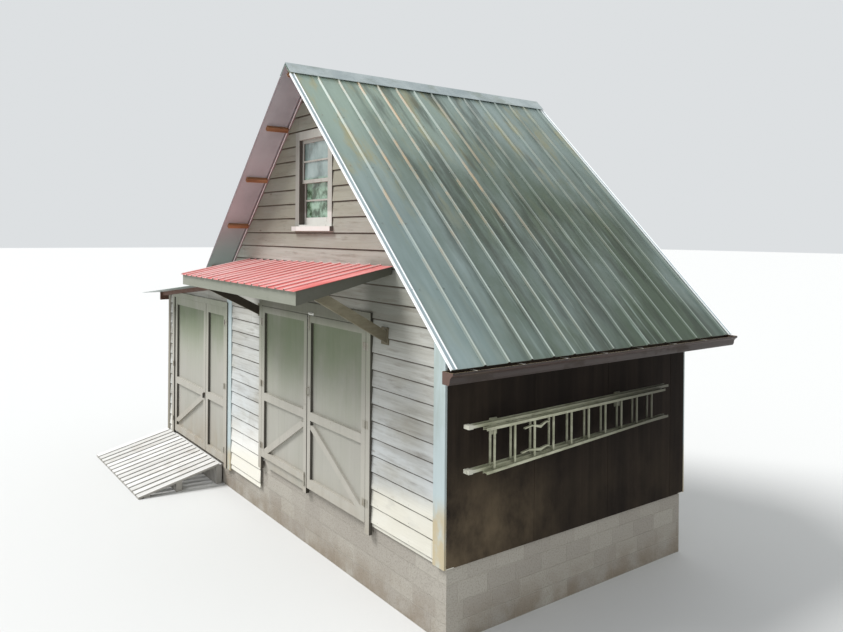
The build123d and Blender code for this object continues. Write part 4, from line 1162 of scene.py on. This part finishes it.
# %% [markdown]
# ## Roof screws
# Screws with small washers hold each sheet to the timbers under it, beside every rib. One is
# turned square to its sheet, its head is raised in edit mode, and Array modifiers lay out the
# ribs and the rows.

# %% Model one row of screws
rib_pitch = 0.3048
first_rib = 0.004 - 0.120 - rib_pitch
first_purlin = 0.740
purlin_step = 0.6767
rib_depth = 0.0190
beside_rib = 0.045
sheet_end = 3.95


def disc(name, sides, radius, depth, centre, turn_to):
    """A short cylinder, with its place in its mesh."""
    bpy.ops.object.select_all(action="DESELECT")
    bpy.ops.mesh.primitive_cylinder_add(
        vertices=sides, radius=radius, depth=depth, location=centre, rotation=turn_to
    )
    bpy.ops.object.transform_apply(location=True, rotation=True, scale=True)
    bpy.context.object.name = name
    return bpy.context.object


def sheet_screws(name, foot, normal, repeats):
    """One screw at foot, its head along normal, copied by each count and offset."""
    tilt = normal.to_track_quat("Z", "Y").to_euler()
    screw = disc(name, 8, 0.008, 0.004, foot, tilt)
    top = foot + normal * 0.002
    edit_corners(screw, lambda at: (at - top).dot(normal) > -0.0005)
    bpy.ops.mesh.inset(thickness=0.003)
    bpy.ops.mesh.extrude_region_move(TRANSFORM_OT_translate={"value": normal * 0.004})
    leave()
    for count, offset in repeats:
        repeat(screw, count, offset)
    return screw


# %% Screws on both slopes and the lean-to
beside_ribs = [(2, (0, 2 * beside_rib, 0)), (15, (0, rib_pitch, 0))]
for side_name, side in (("right", 1), ("left", -1)):
    height = ridge_height - first_purlin * tan(pitch) - rib_depth / cos(pitch)
    foot = Vector((side * first_purlin, first_rib - beside_rib, height))
    normal = Vector((side * sin(pitch), 0, cos(pitch)))
    down_slope = (side * purlin_step, 0, -purlin_step * tan(pitch))
    rows = [*beside_ribs, (4, down_slope)]
    screw = sheet_screws(f"roof_screws_{side_name}", foot, normal, rows)
    slice_off(screw, (0, sheet_end, 0), (0, 1, 0))
    finish_piece(screw, "roof_metal")

leanto_run, leanto_step = 3.30, 0.9
fallen = (leanto_run - leanto_start[0]) * tan(leanto_pitch)
height = leanto_start[1] - fallen - rib_depth / cos(leanto_pitch)
foot = Vector((-leanto_run, first_rib - beside_rib, height))
normal = Vector((-sin(leanto_pitch), 0, cos(leanto_pitch)))
rows = [*beside_ribs, (4, (-leanto_step, 0, -leanto_step * tan(leanto_pitch)))]
screw = sheet_screws("roof_screws_leanto", foot, normal, rows)
slice_off(screw, (0, sheet_end, 0), (0, 1, 0))
finish_piece(screw, "roof_metal")

# %% Screws on the canopy
canopy_rib = 0.2286
first_pan = -2.057 + 0.070 + 0.032
first_row, row_step = 0.13, 0.40
canopy_rib_depth = 0.018
height = canopy_start[1] - first_row * tan(canopy_pitch) - canopy_rib_depth / cos(canopy_pitch)
height += (first_pan - canopy_middle) * tan(canopy_lean)
foot = Vector((first_pan, -canopy_start[0] - first_row, height))
normal = Vector((-sin(canopy_lean), -sin(canopy_pitch), cos(canopy_pitch))).normalized()
along = (canopy_rib, 0, canopy_rib * tan(canopy_lean))
rows = [(17, along), (3, (0, -row_step, -row_step * tan(canopy_pitch)))]
screw = sheet_screws("canopy_screws", foot, normal, rows)
finish_piece(screw, "canopy_metal")

# %% [markdown]
# ## Rung locks of the ladder
# The front section of the ladder has two hooked locks that catch a rung of the section behind
# it. Each is a flat bar; cuts across the bar give it corners, and edit mode bends the tip.

# %% Two rung locks
lock_side = 3.078


def rung_lock(name, near, far, level, lift):
    """A bar along the rail from near to far, its far tip raised by lift."""
    bar = block(name, (lock_side, near, level), (lock_side + 0.030, far, level + 0.014))
    for cut in (near + 0.10, far - 0.13, far - 0.05):
        edit_corners(bar, lambda at: True)
        bpy.ops.mesh.bisect(plane_co=(0, cut, 0), plane_no=(0, 1, 0))
        leave()
    edit_corners(bar, lambda at: at.y > far - 0.06)
    bpy.ops.transform.translate(value=(0, 0, lift))
    leave()
    edit_corners(bar, lambda at: at.y < near + 0.11)
    bpy.ops.transform.translate(value=(0, 0, lift * 0.4))
    leave()
    edit_corners(bar, lambda at: near + 0.09 < at.y < far - 0.12 and at.z > level + 0.010)
    bpy.ops.transform.translate(value=(0, 0, 0.016))
    leave()
    apply_modifier(bar, "BEVEL", width=0.002, segments=1)
    return bar


upper_lock = rung_lock("lock_upper", 0.76, 1.12, 2.095, 0.045)
lower_lock = rung_lock("lock_lower", 0.72, 1.12, 1.852, 0.030)
finish_piece(join([upper_lock, lower_lock], "ladder_locks"), "ladder_wood")

# %% [markdown]
# ## Hinge leaves on the doors
# The knuckle of each hinge sits on the casing and is in the CAD model. The leaf, the plate
# with three screws on the door's face, is too thin for the solids. It is added here, joined
# into one piece for each door, and rides on that door so that it swings with it.

# %% Hinge leaves
hinge_height = 0.090
hinge_reach = 0.058


def hinge_leaf(name, edge, side, level, face):
    """A thin plate with three screw heads on the door's face."""
    low = (min(edge, edge + side * hinge_reach), face - 0.002, level - hinge_height / 2)
    high = (max(edge, edge + side * hinge_reach), face, level + hinge_height / 2)
    plate = block(name, low, high)
    edit_corners(plate, lambda at: at.y < face - 0.001)
    bpy.ops.mesh.bevel(offset=0.0008, segments=1, affect="EDGES")
    leave()
    heads = [plate]
    for rise in (-0.03, 0.0, 0.03):
        across = edge + side * (0.020 if rise else 0.040)
        centre = (across, face - 0.0026, level + rise)
        heads.append(disc("screw_head", 10, 0.005, 0.0016, centre, (radians(90), 0, 0)))
    return join(heads, name)


main_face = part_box("main_door_right_frame")[0][1] - 0.0002
door_foot, from_end = 0.8, 0.23
levels = [door_foot + from_end, (door_foot + door_head) / 2, door_head - from_end]
for side_name, edge, side in (("left", -1.4640, 1), ("right", 1.4040, -1)):
    plates = [hinge_leaf("hinge_leaf", edge, side, level, main_face) for level in levels]
    plates = join(plates, f"hinge_leaves_{side_name}")
    finish_piece(plates, "hardware", f"main_door_{side_name}")

# %% [markdown]
# ## Keeper of the head bolt
# A bright plate on the head casing takes the upright bolt of the right door. A block is laid
# on the casing, its front is inset, and the middle is pushed out to hold the rod.

# %% Bolt keeper
casing_face = casing[0][1]
keeper_low = (-0.004, casing_face - 0.004, 3.076)
keeper_high = (0.134, casing_face, 3.106)
keeper = block("bolt_keeper", keeper_low, keeper_high)
edit_corners(keeper, lambda at: at.y < casing_face - 0.003)
bpy.ops.mesh.inset(thickness=0.007)
bpy.ops.mesh.extrude_region_move(TRANSFORM_OT_translate={"value": (0, -0.012, 0)})
bpy.ops.transform.resize(value=(0.92, 1, 0.7))
leave()
apply_modifier(keeper, "BEVEL", width=0.0012, segments=1)
bright_zinc = sheet_metal("keeper_zinc", (226, 226, 220), (240, 240, 234), (190, 184, 170))
finish_piece(keeper, "hardware", material=bright_zinc)
